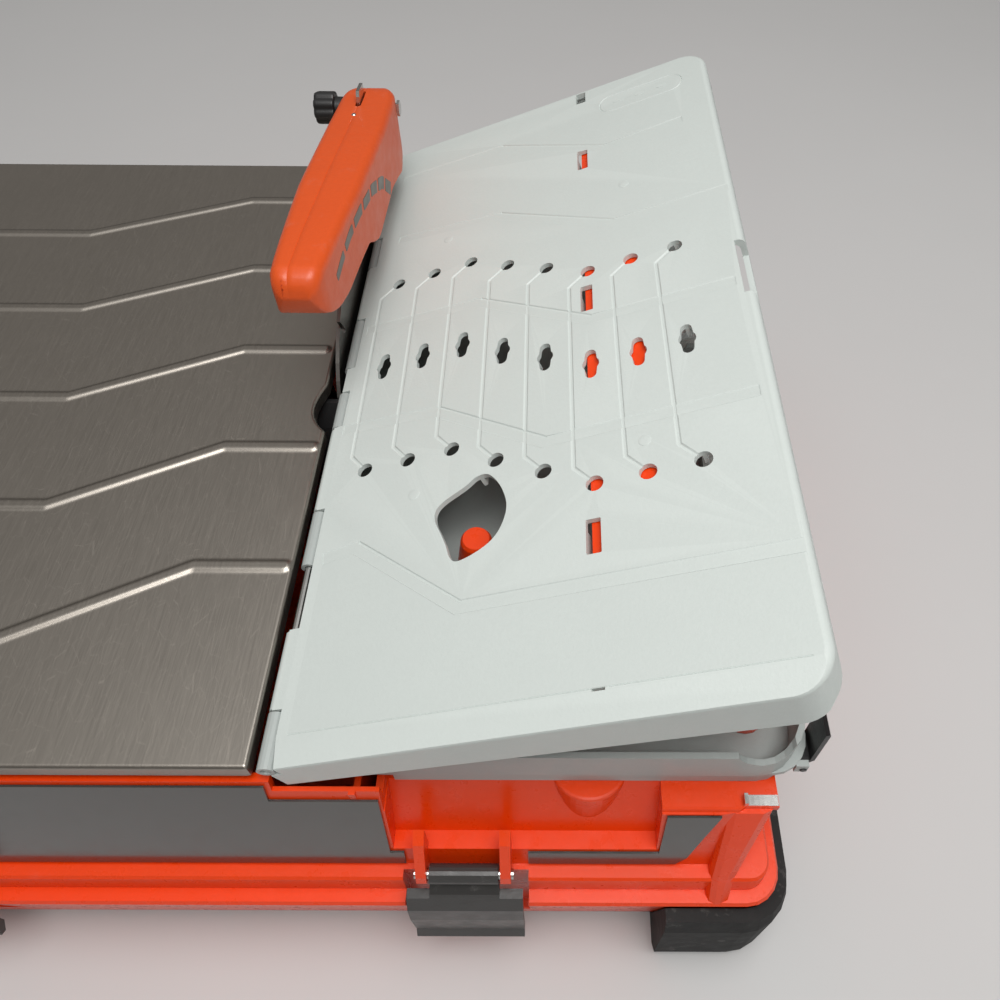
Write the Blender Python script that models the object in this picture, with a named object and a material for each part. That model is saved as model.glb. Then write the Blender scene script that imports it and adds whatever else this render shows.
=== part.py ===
"""Table-top tile saw: stainless table, hinged side table with fence holes, pivoting blade guard,
geared motor, dust tray with draw latches. Blender 4.5, metres, +Z up.

Parts are placed in the saw's frame: x to the right of the blade, y back from the table's front
edge, z up from the table's top. The empty "saw" carries that frame to the world's origin, which is
the centre of the rubber feet's footprint on the floor.
"""

import math

import bmesh
import bpy
from mathutils import Matrix, Vector

# ---------------------------------------------------------------- driving dimensions
TABLE_HEIGHT = 0.190          # floor to the table's top
TABLE_LENGTH = 0.450          # front to back
TABLE_LEFT = -0.330
SHEET = 0.0015                # stainless sheet
GAP = 0.0003                  # between pieces that touch

LEDGE_LEFT, LEDGE_RIGHT = -0.341, 0.245     # outer edge of the dust tray's lower ledge
LEDGE_FRONT, LEDGE_BACK = -0.031, 0.474
BUMPER_OUT = 0.008            # how far the rubber corners stand out from that ledge
SAW_X = -(LEDGE_LEFT + LEDGE_RIGHT) / 2
SAW_Y = -(LEDGE_FRONT + LEDGE_BACK) / 2

BLADE_RADIUS = 0.089
BLADE_Y = 0.300
ARBOR_Z = -0.060
ARBOR_RADIUS = 0.0079
THROAT_HALF = 0.004           # half of the gap that the blade runs in

HINGE_X, HINGE_Z = 0.0075, -0.004
HINGE_RADIUS = 0.004          # knuckles
ROD_RADIUS = 0.002
LID_OPEN_DEG = 21.08          # the side table stands ajar
LID_RIGHT = 0.248
LID_LENGTH = 0.4635
LID_SKIN = 0.003
LID_LIP = 0.025               # depth of the lid's down-turned edges

HOLE_PITCH = 0.0254
FIRST_HOLE_X = 0.0329
HOLE_RADIUS = 0.004
PEG_SPACING = 0.150           # front hole to back hole
KEY_OFFSET = 0.0765           # front hole to key slot
FRONT_HOLE_Y = (0.1524, 0.1524, 0.1524, 0.1384, 0.1246, 0.1108, 0.1108, 0.1108)

SELECTOR_X, SELECTOR_Y = 0.0912, 0.1095
GUARD_PIVOT_Y, GUARD_PIVOT_Z = 0.425, 0.061
GUARD_OFFSET = 0.003          # the guard's right half is wider than its left half by twice this
KNIFE_HALF = 0.0011

PINION_TEETH, GEAR_TEETH, MODULE = 10, 28, 0.0015
MOTOR_Z = ARBOR_Z - MODULE * (PINION_TEETH + GEAR_TEETH) / 2
GEARBOX_HALF = 0.030

LATCH_CENTRES = (0.088, -0.184)
LATCH_PIN_Y, LATCH_PIN_Z = -0.0225, -0.0790

ORANGE = ("orange_shell", (0.83, 0.12, 0.02, 1), 0.42, 0.0)
GREY = ("light_grey_plastic", (0.60, 0.63, 0.62, 1), 0.5, 0.0)
TRIM = ("dark_grey_gloss", (0.10, 0.10, 0.10, 1), 0.15, 0.0)
BLACK = ("black_plastic", (0.02, 0.02, 0.02, 1), 0.5, 0.0)
RUBBER = ("black_rubber", (0.015, 0.015, 0.015, 1), 0.8, 0.0)
STAINLESS = ("stainless_steel", (0.35, 0.34, 0.32, 1), 0.35, 1.0)
STEEL = ("bright_steel", (0.62, 0.62, 0.62, 1), 0.25, 1.0)
CAST = ("cast_aluminium", (0.45, 0.46, 0.47, 1), 0.5, 1.0)
COPPER = ("copper_winding", (0.55, 0.22, 0.08, 1), 0.4, 1.0)
DIAMOND = ("diamond_blade", (0.42, 0.40, 0.38, 1), 0.4, 1.0)


# ---------------------------------------------------------------- helpers
def clear_scene():
    for obj in list(bpy.data.objects):
        bpy.data.objects.remove(obj, do_unlink=True)


def material(spec):
    name, colour, roughness, metallic = spec
    found = bpy.data.materials.get(name)
    if found:
        return found
    made = bpy.data.materials.new(name)
    made.use_nodes = True
    shader = made.node_tree.nodes["Principled BSDF"]
    shader.inputs["Base Color"].default_value = colour
    shader.inputs["Roughness"].default_value = roughness
    shader.inputs["Metallic"].default_value = metallic
    return made


def add_empty(name, location, parent=None, rotation=(0, 0, 0)):
    empty = bpy.data.objects.new(name, None)
    bpy.context.scene.collection.objects.link(empty)
    empty.location = location
    empty.rotation_euler = rotation
    empty.parent = parent
    return empty


def add_mesh(name, bm, spec=None, parent=None):
    bmesh.ops.recalc_face_normals(bm, faces=bm.faces[:])
    mesh = bpy.data.meshes.new(name)
    bm.to_mesh(mesh)
    bm.free()
    obj = bpy.data.objects.new(name, mesh)
    bpy.context.scene.collection.objects.link(obj)
    obj.parent = parent
    if spec:
        mesh.materials.append(material(spec))
    return obj


def helper(obj):
    """Marks a cutter or an addition, which isn't a part."""
    obj.hide_render = True
    obj.display_type = "WIRE"
    return obj


def boolean(obj, other, operation):
    helper(other)
    modifier = obj.modifiers.new(f"{operation.lower()}_{other.name}", "BOOLEAN")
    modifier.operation = operation
    modifier.solver = "EXACT"
    modifier.object = other
    return obj


def cut(obj, *others):
    for other in others:
        boolean(obj, other, "DIFFERENCE")
    return obj


def join(obj, *others):
    for other in others:
        boolean(obj, other, "UNION")
    return obj


def box(name, x, y, z, spec=None, parent=None):
    """A block between the given (low, high) pairs."""
    bm = bmesh.new()
    bmesh.ops.create_cube(bm, size=1)
    centre = [(a + b) / 2 for a, b in (x, y, z)]
    size = [b - a for a, b in (x, y, z)]
    bmesh.ops.scale(bm, vec=size, verts=bm.verts)
    bmesh.ops.translate(bm, vec=centre, verts=bm.verts)
    return add_mesh(name, bm, spec, parent)


AXIS_ORDER = {"X": (1, 2, 0), "Y": (0, 2, 1), "Z": (0, 1, 2)}


def placed(axis, a, b, along):
    """The point whose two outline coordinates are a and b, at a place along the axis."""
    point = [0.0, 0.0, 0.0]
    first, second, third = AXIS_ORDER[axis]
    point[first], point[second], point[third] = a, b, along
    return point


def prism(name, outline, axis, low, high, spec=None, parent=None):
    """An outline of (a, b) points, extruded along X (a=y, b=z), Y (a=x, b=z) or Z (a=x, b=y)."""
    bm = bmesh.new()
    bottom = [bm.verts.new(placed(axis, a, b, low)) for a, b in outline]
    top = [bm.verts.new(placed(axis, a, b, high)) for a, b in outline]
    bm.faces.new(bottom)
    bm.faces.new(top[::-1])
    for i, vert in enumerate(bottom):
        following = (i + 1) % len(bottom)
        bm.faces.new((vert, bottom[following], top[following], top[i]))
    return add_mesh(name, bm, spec, parent)


def arc(centre, radius, start_deg, end_deg, steps):
    """Points on an arc, both ends included."""
    points = []
    for i in range(steps + 1):
        angle = math.radians(start_deg + (end_deg - start_deg) * i / steps)
        points.append((centre[0] + radius * math.cos(angle), centre[1] + radius * math.sin(angle)))
    return points


def circle(centre, radius, steps):
    return arc(centre, radius, 0, 360 * (steps - 1) / steps, steps - 1)


def rod(name, axis, centre, radius, low, high, steps=24, spec=None, parent=None):
    """A round bar along an axis. centre is its outline position, as prism takes it."""
    return prism(name, circle(centre, radius, steps), axis, low, high, spec, parent)


def turned(name, axis, centre, profile, steps=32, spec=None, parent=None):
    """A closed (radius, along) profile turned about an axis. It never touches that axis."""
    bm = bmesh.new()
    rings = []
    for i in range(steps):
        angle = 2 * math.pi * i / steps
        ring = []
        for radius, along in profile:
            a = centre[0] + radius * math.cos(angle)
            b = centre[1] + radius * math.sin(angle)
            ring.append(bm.verts.new(placed(axis, a, b, along)))
        rings.append(ring)
    count = len(profile)
    for i, ring in enumerate(rings):
        after = rings[(i + 1) % steps]
        for j in range(count):
            k = (j + 1) % count
            bm.faces.new((ring[j], ring[k], after[k], after[j]))
    return add_mesh(name, bm, spec, parent)


def tube(name, axis, centre, inner, outer, low, high, steps=32, spec=None, parent=None):
    profile = [(inner, low), (outer, low), (outer, high), (inner, high)]
    return turned(name, axis, centre, profile, steps, spec, parent)


def rounded_rectangle(x, y, radius, steps=5):
    """Points of a rectangle between (low, high) pairs, with round corners, anticlockwise."""
    points = []
    corners = ((x[1], y[1], 0), (x[0], y[1], 90), (x[0], y[0], 180), (x[1], y[0], 270))
    for corner_x, corner_y, start in corners:
        centre = (corner_x - math.copysign(radius, corner_x - sum(x) / 2),
                  corner_y - math.copysign(radius, corner_y - sum(y) / 2))
        points += arc(centre, radius, start, start + 90, steps)
    return points


def lofted(name, rings, capped=True, spec=None, parent=None):
    """A skin through rings of 3-D points with equal counts. Uncapped, the last joins the first."""
    bm = bmesh.new()
    loops = [[bm.verts.new(point) for point in ring] for ring in rings]
    pairs = list(zip(loops, loops[1:]))
    if capped:
        bm.faces.new(loops[0][::-1])
        bm.faces.new(loops[-1])
    else:
        pairs.append((loops[-1], loops[0]))
    for lower, upper in pairs:
        for i, vert in enumerate(lower):
            j = (i + 1) % len(lower)
            bm.faces.new((vert, lower[j], upper[j], upper[i]))
    return add_mesh(name, bm, spec, parent)


# ---------------------------------------------------------------- dust tray and rubber corners
def ledge_ring(inset, z, radius=0.018):
    """The dust tray's plan, drawn in by inset, at a height."""
    x = (LEDGE_LEFT + inset, LEDGE_RIGHT - inset)
    y = (LEDGE_FRONT + inset, LEDGE_BACK - inset)
    return [(a, b, z) for a, b in rounded_rectangle(x, y, max(radius - inset, 0.004))]


TRAY_BOTTOM = -0.182
LOWER_LEDGE_Z, UPPER_LEDGE_Z = -0.104, -0.088
UPPER_LEDGE_INSET = 0.015


def make_dust_tray(saw):
    outer = ((0.012, TRAY_BOTTOM), (0.001, -0.110), (0.0, -0.106), (0.0012, LOWER_LEDGE_Z),
             (0.0072, LOWER_LEDGE_Z), (0.0078, -0.0895), (0.0090, UPPER_LEDGE_Z),
             (0.0185, UPPER_LEDGE_Z))
    inner = ((0.0190, -0.106), (0.0200, -0.176))
    rings = [ledge_ring(inset, z) for inset, z in outer + inner]
    tray = lofted("dust_tray", rings, spec=ORANGE, parent=saw)
    for i, centre in enumerate(LATCH_CENTRES):
        x = (centre - LATCH_HALF - 0.0025, centre + LATCH_HALF + 0.0025)
        cut(tray, box(f"latch_pocket_{i}", x, (-0.045, -0.0185), (-0.150, -0.080), parent=saw))
    return join(tray, lofted("tray_pillar", pillar_rings(TRAY_PILLAR, -0.0170), parent=saw))


def make_rubber_corners(saw):
    rows = ((-BUMPER_OUT + 0.006, -0.190), (-BUMPER_OUT, -0.180), (-BUMPER_OUT, -0.125),
            (-BUMPER_OUT + 0.0025, -0.1125), (0.0008, -0.1125), (0.0117, TRAY_BOTTOM - GAP),
            (0.030, TRAY_BOTTOM - GAP), (0.030, -0.190))
    reach = 0.058
    for side, x_edge in (("left", LEDGE_LEFT), ("right", LEDGE_RIGHT)):
        for end, y_edge in (("front", LEDGE_FRONT), ("back", LEDGE_BACK)):
            name = f"{end}_{side}_rubber_foot"
            rings = [ledge_ring(inset - GAP, z) for inset, z in rows]
            foot = lofted(name, rings, capped=False, spec=RUBBER, parent=saw)
            x = sorted((x_edge + math.copysign(0.02, x_edge), x_edge - math.copysign(reach, x_edge)))
            back = y_edge > 0.2
            y = (y_edge - reach, y_edge + 0.02) if back else (y_edge - 0.02, y_edge + reach)
            keep = box(f"{name}_corner", x, y, (-0.2, -0.1), parent=saw)
            boolean(foot, keep, "INTERSECT")


# ---------------------------------------------------------------- upper body
BODY_LEFT, BODY_RIGHT = -0.326, 0.230
BODY_TOP, BODY_FOOT = -0.0135, UPPER_LEDGE_Z + GAP
BODY_WALL = 0.004
FRONT_TOP_Y, FRONT_FOOT_Y = -0.001, -0.0158
BODY_BACK = 0.447
RECESS_LEFT, RECESS_RIGHT = 0.054, 0.180
RECESS_TOP_Y, RECESS_FOOT_Y = 0.0117, -0.0045     # its back wall leans like the front wall
RECESS_FOOT_Z = -0.073
BOSS_X = 0.147
BOSS_Y = 0.0183
BOSS_PROFILE = ((0.0001, -0.0383), (0.0178, -0.0383), (0.0188, -0.0387), (0.0193, -0.0398),
                (0.0193, -0.0725), (0.0001, -0.0725))
FRONT_SEAT_Z = -0.0210         # the front wall's top beside the table
SHELF_Z, SHELF_RIGHT = -0.0380, 0.2335     # the shelf right of the recess
BODY_PILLAR = ((-0.0402, 0.2100, 0.2325, -0.0058), (UPPER_LEDGE_Z + GAP, 0.2065, 0.2205, -0.0236))
TRAY_PILLAR = ((UPPER_LEDGE_Z, 0.2065, 0.2205, -0.0237), (-0.1045, 0.2065, 0.2190, -0.0303))
LATCH_HALF = 0.0280
LATCH_GUSSET = 0.0200          # from the latch's centre to the middle of a gusset
GUSSET_HALF = 0.0025
SWITCH_X, SWITCH_Z = -0.235, -0.052
GLAND_X, GLAND_Z = -0.270, -0.060
TRIM_OUTLINES = {
    "left": ((-0.3030, -0.0160), (0.0040, -0.0160), (0.0040, -0.0274), (0.0525, -0.0274),
             (0.0525, -0.0745), (0.0590, -0.0745), (0.0590, -0.0850), (-0.3030, -0.0850)),
    "right": ((0.1823, -0.0403), (0.2072, -0.0403), (0.2011, -0.0590), (0.1950, -0.0790),
              (0.1900, -0.0850), (0.1185, -0.0850), (0.1185, -0.0745), (0.1812, -0.0745)),
}


def front_y(z):
    """The front wall's y at a height: it leans out towards the foot."""
    share = (z - BODY_TOP) / (BODY_FOOT - BODY_TOP)
    return FRONT_TOP_Y + (FRONT_FOOT_Y - FRONT_TOP_Y) * share


def body_ring(inset, z, radius):
    x = (BODY_LEFT + inset, BODY_RIGHT - inset)
    y = (front_y(z) + inset, BODY_BACK - inset)
    return [(a, b, z) for a, b in rounded_rectangle(x, y, radius)]


def pillar_rings(sections, back):
    """Sections of the corner pillar, each from its height, its two sides and its front."""
    return [[(left, back, z), (left, front + 0.0040, z), (left + 0.0012, front + 0.0012, z),
             (left + 0.0040, front, z), (right - 0.0060, front, z), (right - 0.0018, front + 0.0018, z),
             (right, front + 0.0060, z), (right, back, z)][::-1] for z, left, right, front in sections]


def make_body(saw):
    body = lofted("body_shell", [body_ring(0, BODY_FOOT, 0.022), body_ring(0, BODY_TOP, 0.022)],
                  spec=ORANGE, parent=saw)
    reach = 0.02
    cavity = lofted("body_cavity", [body_ring(BODY_WALL, BODY_FOOT - reach, 0.018),
                                    body_ring(BODY_WALL, BODY_TOP + reach, 0.018)], parent=saw)
    seat_z = FLANGE_FOOT - GAP
    for name, piece, out in (("backing", cavity, BODY_WALL), ("space", body, 0.0)):
        outline = [(-0.06, 0.03), (-0.06, RECESS_FOOT_Z - out), (RECESS_FOOT_Y + out, RECESS_FOOT_Z - out),
                   (RECESS_TOP_Y + out, seat_z), (RECESS_TOP_Y + out, 0.03)]
        cut(piece, prism(f"recess_{name}", outline, "X", RECESS_LEFT - out, RECESS_RIGHT + out,
                         parent=saw))
    tray_seat = box("tray_seat", (HINGE_X - 0.0010, 0.25), (0.0035, 0.48), (seat_z, 0.03), parent=saw)
    lip_seat = box("lip_seat", (HINGE_X - 0.0010, RECESS_LEFT + 0.001), (-0.0004, 0.0040),
                   (seat_z, 0.03), parent=saw)
    front_seat = box("front_seat", (HINGE_X - 0.0010, RECESS_LEFT + 0.001), (-0.05, 0.0010),
                     (FRONT_SEAT_Z, 0.03), parent=saw)
    shelf_seat = box("shelf_seat", (RECESS_LEFT - 0.0005, 0.25), (-0.05, 0.0145), (SHELF_Z, 0.03),
                     parent=saw)
    cut(body, cavity)
    y = (RECESS_TOP_Y, BODY_BACK - 0.002)
    bulkhead = box("gearbox_bulkhead", (0.0400, 0.0430), (-0.004, y[1]), (BODY_FOOT, -0.0200),
                   parent=saw)
    gearbox_gap = box("gearbox_gap", (0.03, 0.05), (BLADE_Y - GEARBOX_HALF - GAP,
                      BLADE_Y + GEARBOX_HALF + GAP), (-0.12, -0.0327), parent=saw)
    cut(bulkhead, gearbox_gap)
    join(body, bulkhead, box("front_shelf", (RECESS_RIGHT, SHELF_RIGHT), (-0.0035, 0.0140),
                             (SHELF_Z - 0.0040, SHELF_Z + 0.0030), parent=saw))
    cut(body, tray_seat, lip_seat, front_seat, shelf_seat)
    for name, x, y in (("left", (-0.3240, -0.3190), (0.0120, 0.4390)),
                       ("right", (-0.0290, -0.0260), (0.0020, 0.4460))):
        join(body, box(f"{name}_table_rest", x, y, (-0.0300, -SHEET - GAP), parent=saw))
    join(body, turned("tray_boss", "Z", (BOSS_X, BOSS_Y), BOSS_PROFILE, 40, parent=saw))
    edge = [(-0.020, SHELF_Z + 0.001), (-0.0034, SHELF_Z + 0.001), (-0.0034, SHELF_Z),
            (-0.0044, SHELF_Z - 0.0006), (-0.0052, SHELF_Z - 0.0020), (-0.020, SHELF_Z - 0.0020)]
    cut(body, prism("shelf_edge", edge, "X", RECESS_RIGHT - 0.0010, 0.25, parent=saw))
    join(body, lofted("body_pillar", pillar_rings(BODY_PILLAR, 0.0080), parent=saw))
    for i, centre in enumerate(LATCH_CENTRES):
        for side in (-1, 1):
            gusset_outline = [(-0.010, -0.0865), (LATCH_PIN_Y + 0.002, -0.0865),
                              (LATCH_PIN_Y - 0.0042, -0.0800), (LATCH_PIN_Y - 0.0030, -0.0752),
                              (-0.016, -0.0560), (-0.010, -0.0520)]
            x = centre + side * LATCH_GUSSET
            gusset = prism(f"latch_gusset_{i}_{side}", gusset_outline, "X", x - GUSSET_HALF,
                           x + GUSSET_HALF, parent=saw)
            join(body, gusset)
        cut(body, rod(f"latch_bore_{i}", "X", (LATCH_PIN_Y, LATCH_PIN_Z), 0.00285, centre - 0.04,
                      centre + 0.04, 16, parent=saw))
    switch_hole = box("switch_hole", (SWITCH_X - 0.021, SWITCH_X + 0.021), (-0.06, 0.02),
                      (SWITCH_Z - 0.0145, SWITCH_Z + 0.0145), parent=saw)
    gland_hole = rod("gland_hole", "Y", (GLAND_X, GLAND_Z), 0.0083, 0.42, 0.47, 20, parent=saw)
    return cut(body, switch_hole, gland_hole)


def slope_point(x, z, out):
    """A point on the leaning front wall, standing out from it by a distance."""
    return (x, front_y(z) - out, z)


def make_front_trim(saw):
    """Glossy inlays that follow the leaning front wall, with windows for the switch and latch."""
    for side, outline in TRIM_OUTLINES.items():
        rings = [[slope_point(x, z, out) for x, z in outline] for out in (GAP, GAP + 0.0010)]
        trim = lofted(f"{side}_front_trim", rings, spec=TRIM, parent=saw)
        if side == "left":
            window = box("trim_switch_window", (SWITCH_X - 0.026, SWITCH_X + 0.026), (-0.06, 0.02),
                         (SWITCH_Z - 0.0195, SWITCH_Z + 0.0195), parent=saw)
            x = LATCH_CENTRES[1]
            gap = box("trim_latch_window", (x - 0.028, x + 0.028), (-0.06, 0.02), (-0.10, -0.0500),
                      parent=saw)
            cut(trim, window, gap)


def make_corner_bracket(saw):
    z = SHELF_Z + GAP
    outline = [(0.2172, z), (0.2330, z), (0.2330, z + 0.0012), (0.2190, z + 0.0012),
               (0.2190, z + 0.0040), (0.2172, z + 0.0040)]
    return prism("corner_bracket", outline, "Y", -0.0032, 0.0015, STEEL, saw)


# ---------------------------------------------------------------- stainless table
NOTCH_START, NOTCH_LENGTH, NOTCH_DEPTH = 0.187, 0.036, 0.0065
TABLE_RIGHT_FRONT = 0.0005
TABLE_SKIRT = 0.009


def table_outline(inset):
    """The table's plan: a straight right edge, a finger notch, then the blade's throat."""
    points = [(TABLE_RIGHT_FRONT - inset, inset)]
    steps = 8
    for i in range(steps + 1):
        share = i / steps
        edge = TABLE_RIGHT_FRONT + (-THROAT_HALF - TABLE_RIGHT_FRONT) * share
        x = edge - NOTCH_DEPTH * math.sin(math.pi * share) - inset
        points.append((x, NOTCH_START + NOTCH_LENGTH * share))
    points.append((-THROAT_HALF - inset, TABLE_LENGTH - inset))
    corner = 0.010
    points += arc((TABLE_LEFT + corner, TABLE_LENGTH - corner), corner - inset, 90, 180, 4)
    points += arc((TABLE_LEFT + corner, corner), corner - inset, 180, 270, 4)
    return points


RIB_COUNT, RIB_FIRST_Y, RIB_PITCH = 5, 0.099, 0.0764
RIB_KINK_X = (-0.0490, -0.0525, -0.0595, -0.0718, -0.0897)
RIB_SLOPE = (0.49, 0.478, 0.429, 0.402, 0.387)
RIB_DROP, RIB_HALF, RIB_RISE = 0.040, 0.0026, 0.0010


def make_table(saw):
    table = prism("table_top", table_outline(0), "Z", -TABLE_SKIRT, 0, STAINLESS, saw)
    hollow = prism("table_hollow", table_outline(SHEET), "Z", -0.02, -SHEET, parent=saw)
    cut(table, hollow)
    for n in range(RIB_COUNT):
        y = RIB_FIRST_Y + n * RIB_PITCH
        kink, run = RIB_KINK_X[n], RIB_DROP / RIB_SLOPE[n]
        right = -0.0015 if n < 2 else -0.0070
        centre = [(right, y), (kink, y), (kink - run, y - RIB_DROP), (-0.318, y - RIB_DROP)]
        outline = [(a, b + RIB_HALF) for a, b in centre] + [(a, b - RIB_HALF) for a, b in centre[::-1]]
        join(table, prism(f"table_rib_{n}", outline, "Z", -0.0005, RIB_RISE, parent=saw))
    return table


# ---------------------------------------------------------------- side tray and its hinge
TRAY_LEFT, TRAY_RIGHT = 0.0150, 0.2430
TRAY_FRONT, TRAY_BACK = 0.0070, 0.4570
TRAY_FLOOR, TRAY_RIM, TRAY_WALL = -0.0270, -0.0055, 0.0028
FLANGE_FOOT = -0.0300
SKIRT_Y, SKIRT_RIGHT = 0.0080, 0.2420             # the tray's skirt in front of the body
TRAY_KNUCKLES = ((0.000, 0.025), (0.100, 0.132), (0.190, 0.216), (0.236, 0.278), (0.330, 0.360),
                 (0.4385, 0.4635))
LID_KNUCKLES = ((0.0260, 0.064), (0.1335, 0.1885), (0.280, 0.328), (0.362, 0.4370))
KNUCKLE_CLEARANCE = 0.0006


def make_side_tray(saw):
    flange = rounded_rectangle((TRAY_LEFT - 0.001, LID_RIGHT), (SKIRT_Y, LID_LENGTH), 0.018)
    tray = prism("side_tray", flange, "Z", FLANGE_FOOT, TRAY_FLOOR, GREY, saw)
    skirt = prism("tray_skirt", rounded_rectangle((0.0300, SKIRT_RIGHT), (SKIRT_Y, 0.20), 0.018), "Z",
                  SHELF_Z + GAP, FLANGE_FOOT + 0.001, parent=saw)
    cut(skirt, prism("skirt_inside", rounded_rectangle((0.0200, SKIRT_RIGHT - TRAY_WALL), (
        SKIRT_Y + TRAY_WALL, 0.21), 0.0152), "Z", SHELF_Z - 0.01, -0.02, parent=saw),
        box("skirt_left_end", (0.0, RECESS_LEFT + 0.0030), (-0.01, 0.25), (-0.06, 0), parent=saw),
        box("skirt_back_end", (0.0, 0.30), (0.0400, 0.25), (-0.06, 0), parent=saw))
    wall = prism("tray_wall", rounded_rectangle((TRAY_LEFT, TRAY_RIGHT), (TRAY_FRONT, TRAY_BACK),
                                                0.020), "Z", TRAY_FLOOR - 0.001, TRAY_RIM, parent=saw)
    inside = prism("tray_inside", rounded_rectangle(
        (TRAY_LEFT + TRAY_WALL, TRAY_RIGHT - TRAY_WALL),
        (TRAY_FRONT + TRAY_WALL, TRAY_BACK - TRAY_WALL), 0.0172), "Z", TRAY_FLOOR - 0.0003, 0.01,
        parent=saw)
    lowered_left = box("tray_left_edge", (0.0, TRAY_LEFT + TRAY_WALL + 0.0005), (-0.01, 0.48),
                       (-0.0130, 0.01), parent=saw)
    finger_scoop = rod("finger_scoop", "Y", (0.2240, 0.0005), 0.0145, -0.01, 0.0200, 20, parent=saw)
    join(tray, wall, skirt)
    cut(tray, inside, lowered_left, finger_scoop)
    for i, (low, high) in enumerate(TRAY_KNUCKLES):
        arm_y = (max(low + 0.0004, LID_SKIN + 0.0004), min(high, LID_LENGTH - LID_SKIN) - 0.0004)
        arm = box(f"tray_arm_{i}", (HINGE_X - 0.0007, TRAY_LEFT + 0.001), arm_y,
                  (-0.0165, HINGE_Z - 0.0024), parent=saw)
        knuckle = rod(f"tray_knuckle_{i}", "Y", (HINGE_X, HINGE_Z), HINGE_RADIUS, low, high, 16,
                      parent=saw)
        join(tray, arm, knuckle)
    bore = rod("tray_hinge_bore", "Y", (HINGE_X, HINGE_Z), ROD_RADIUS + 0.0004, -0.01, 0.48, 12,
               parent=saw)
    post_hole = rod("selector_hole", "Z", (SELECTOR_X, SELECTOR_Y), 0.0055, -0.04, 0, 16, parent=saw)
    cut(tray, bore, post_hole)
    for name, low, high in (("front", 0.0120, 0.0150), ("back", 0.0300, 0.0330)):
        join(tray, box(f"{name}_catch_ear", (0.2420, 0.2480), (low, high), (-0.0364, -0.0295),
                       parent=saw))
    cut(tray, rod("catch_bore", "Y", (0.2460, -0.0340), 0.0018, 0.0, 0.05, 12, parent=saw))
    channel = box("wrench_channel", (0.2030, 0.2050), (0.0600, 0.3800), (TRAY_FLOOR - 0.001, -0.0180),
                  parent=saw)
    return join(tray, channel)


def make_hinge_rod(saw):
    return rod("hinge_rod", "Y", (HINGE_X, HINGE_Z), ROD_RADIUS, 0.0008, 0.4625, 12, STEEL, saw)


# ---------------------------------------------------------------- lid: the hinged side table
def key_slot(x, y):
    """A slot with round ends and a wider middle, for a quarter-turn key."""
    half, end, middle = 0.0032, 0.0068, 0.0049
    points = arc((x, y + end), half, 10, 170, 4) + arc((x, y), middle, 140, 220, 2)
    return points + arc((x, y - end), half, 190, 350, 4) + arc((x, y), middle, -40, 40, 2)


def selector_window():
    """The swept shape of the selector: its hub and the arc that its pointer runs through."""
    centre = (SELECTOR_X, SELECTOR_Y)
    hub, sweep = 0.0128, 0.0250
    return arc(centre, sweep, -97, 60, 14) + arc(centre, hub, 115, 215, 6)


WINDOW_X, WINDOW_HALF = 0.1587, 0.0035
WINDOWS_Y = ((0.0736, 0.0916), (0.2282, 0.2487), (0.3641, 0.3854), (0.4459, 0.4589))


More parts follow.
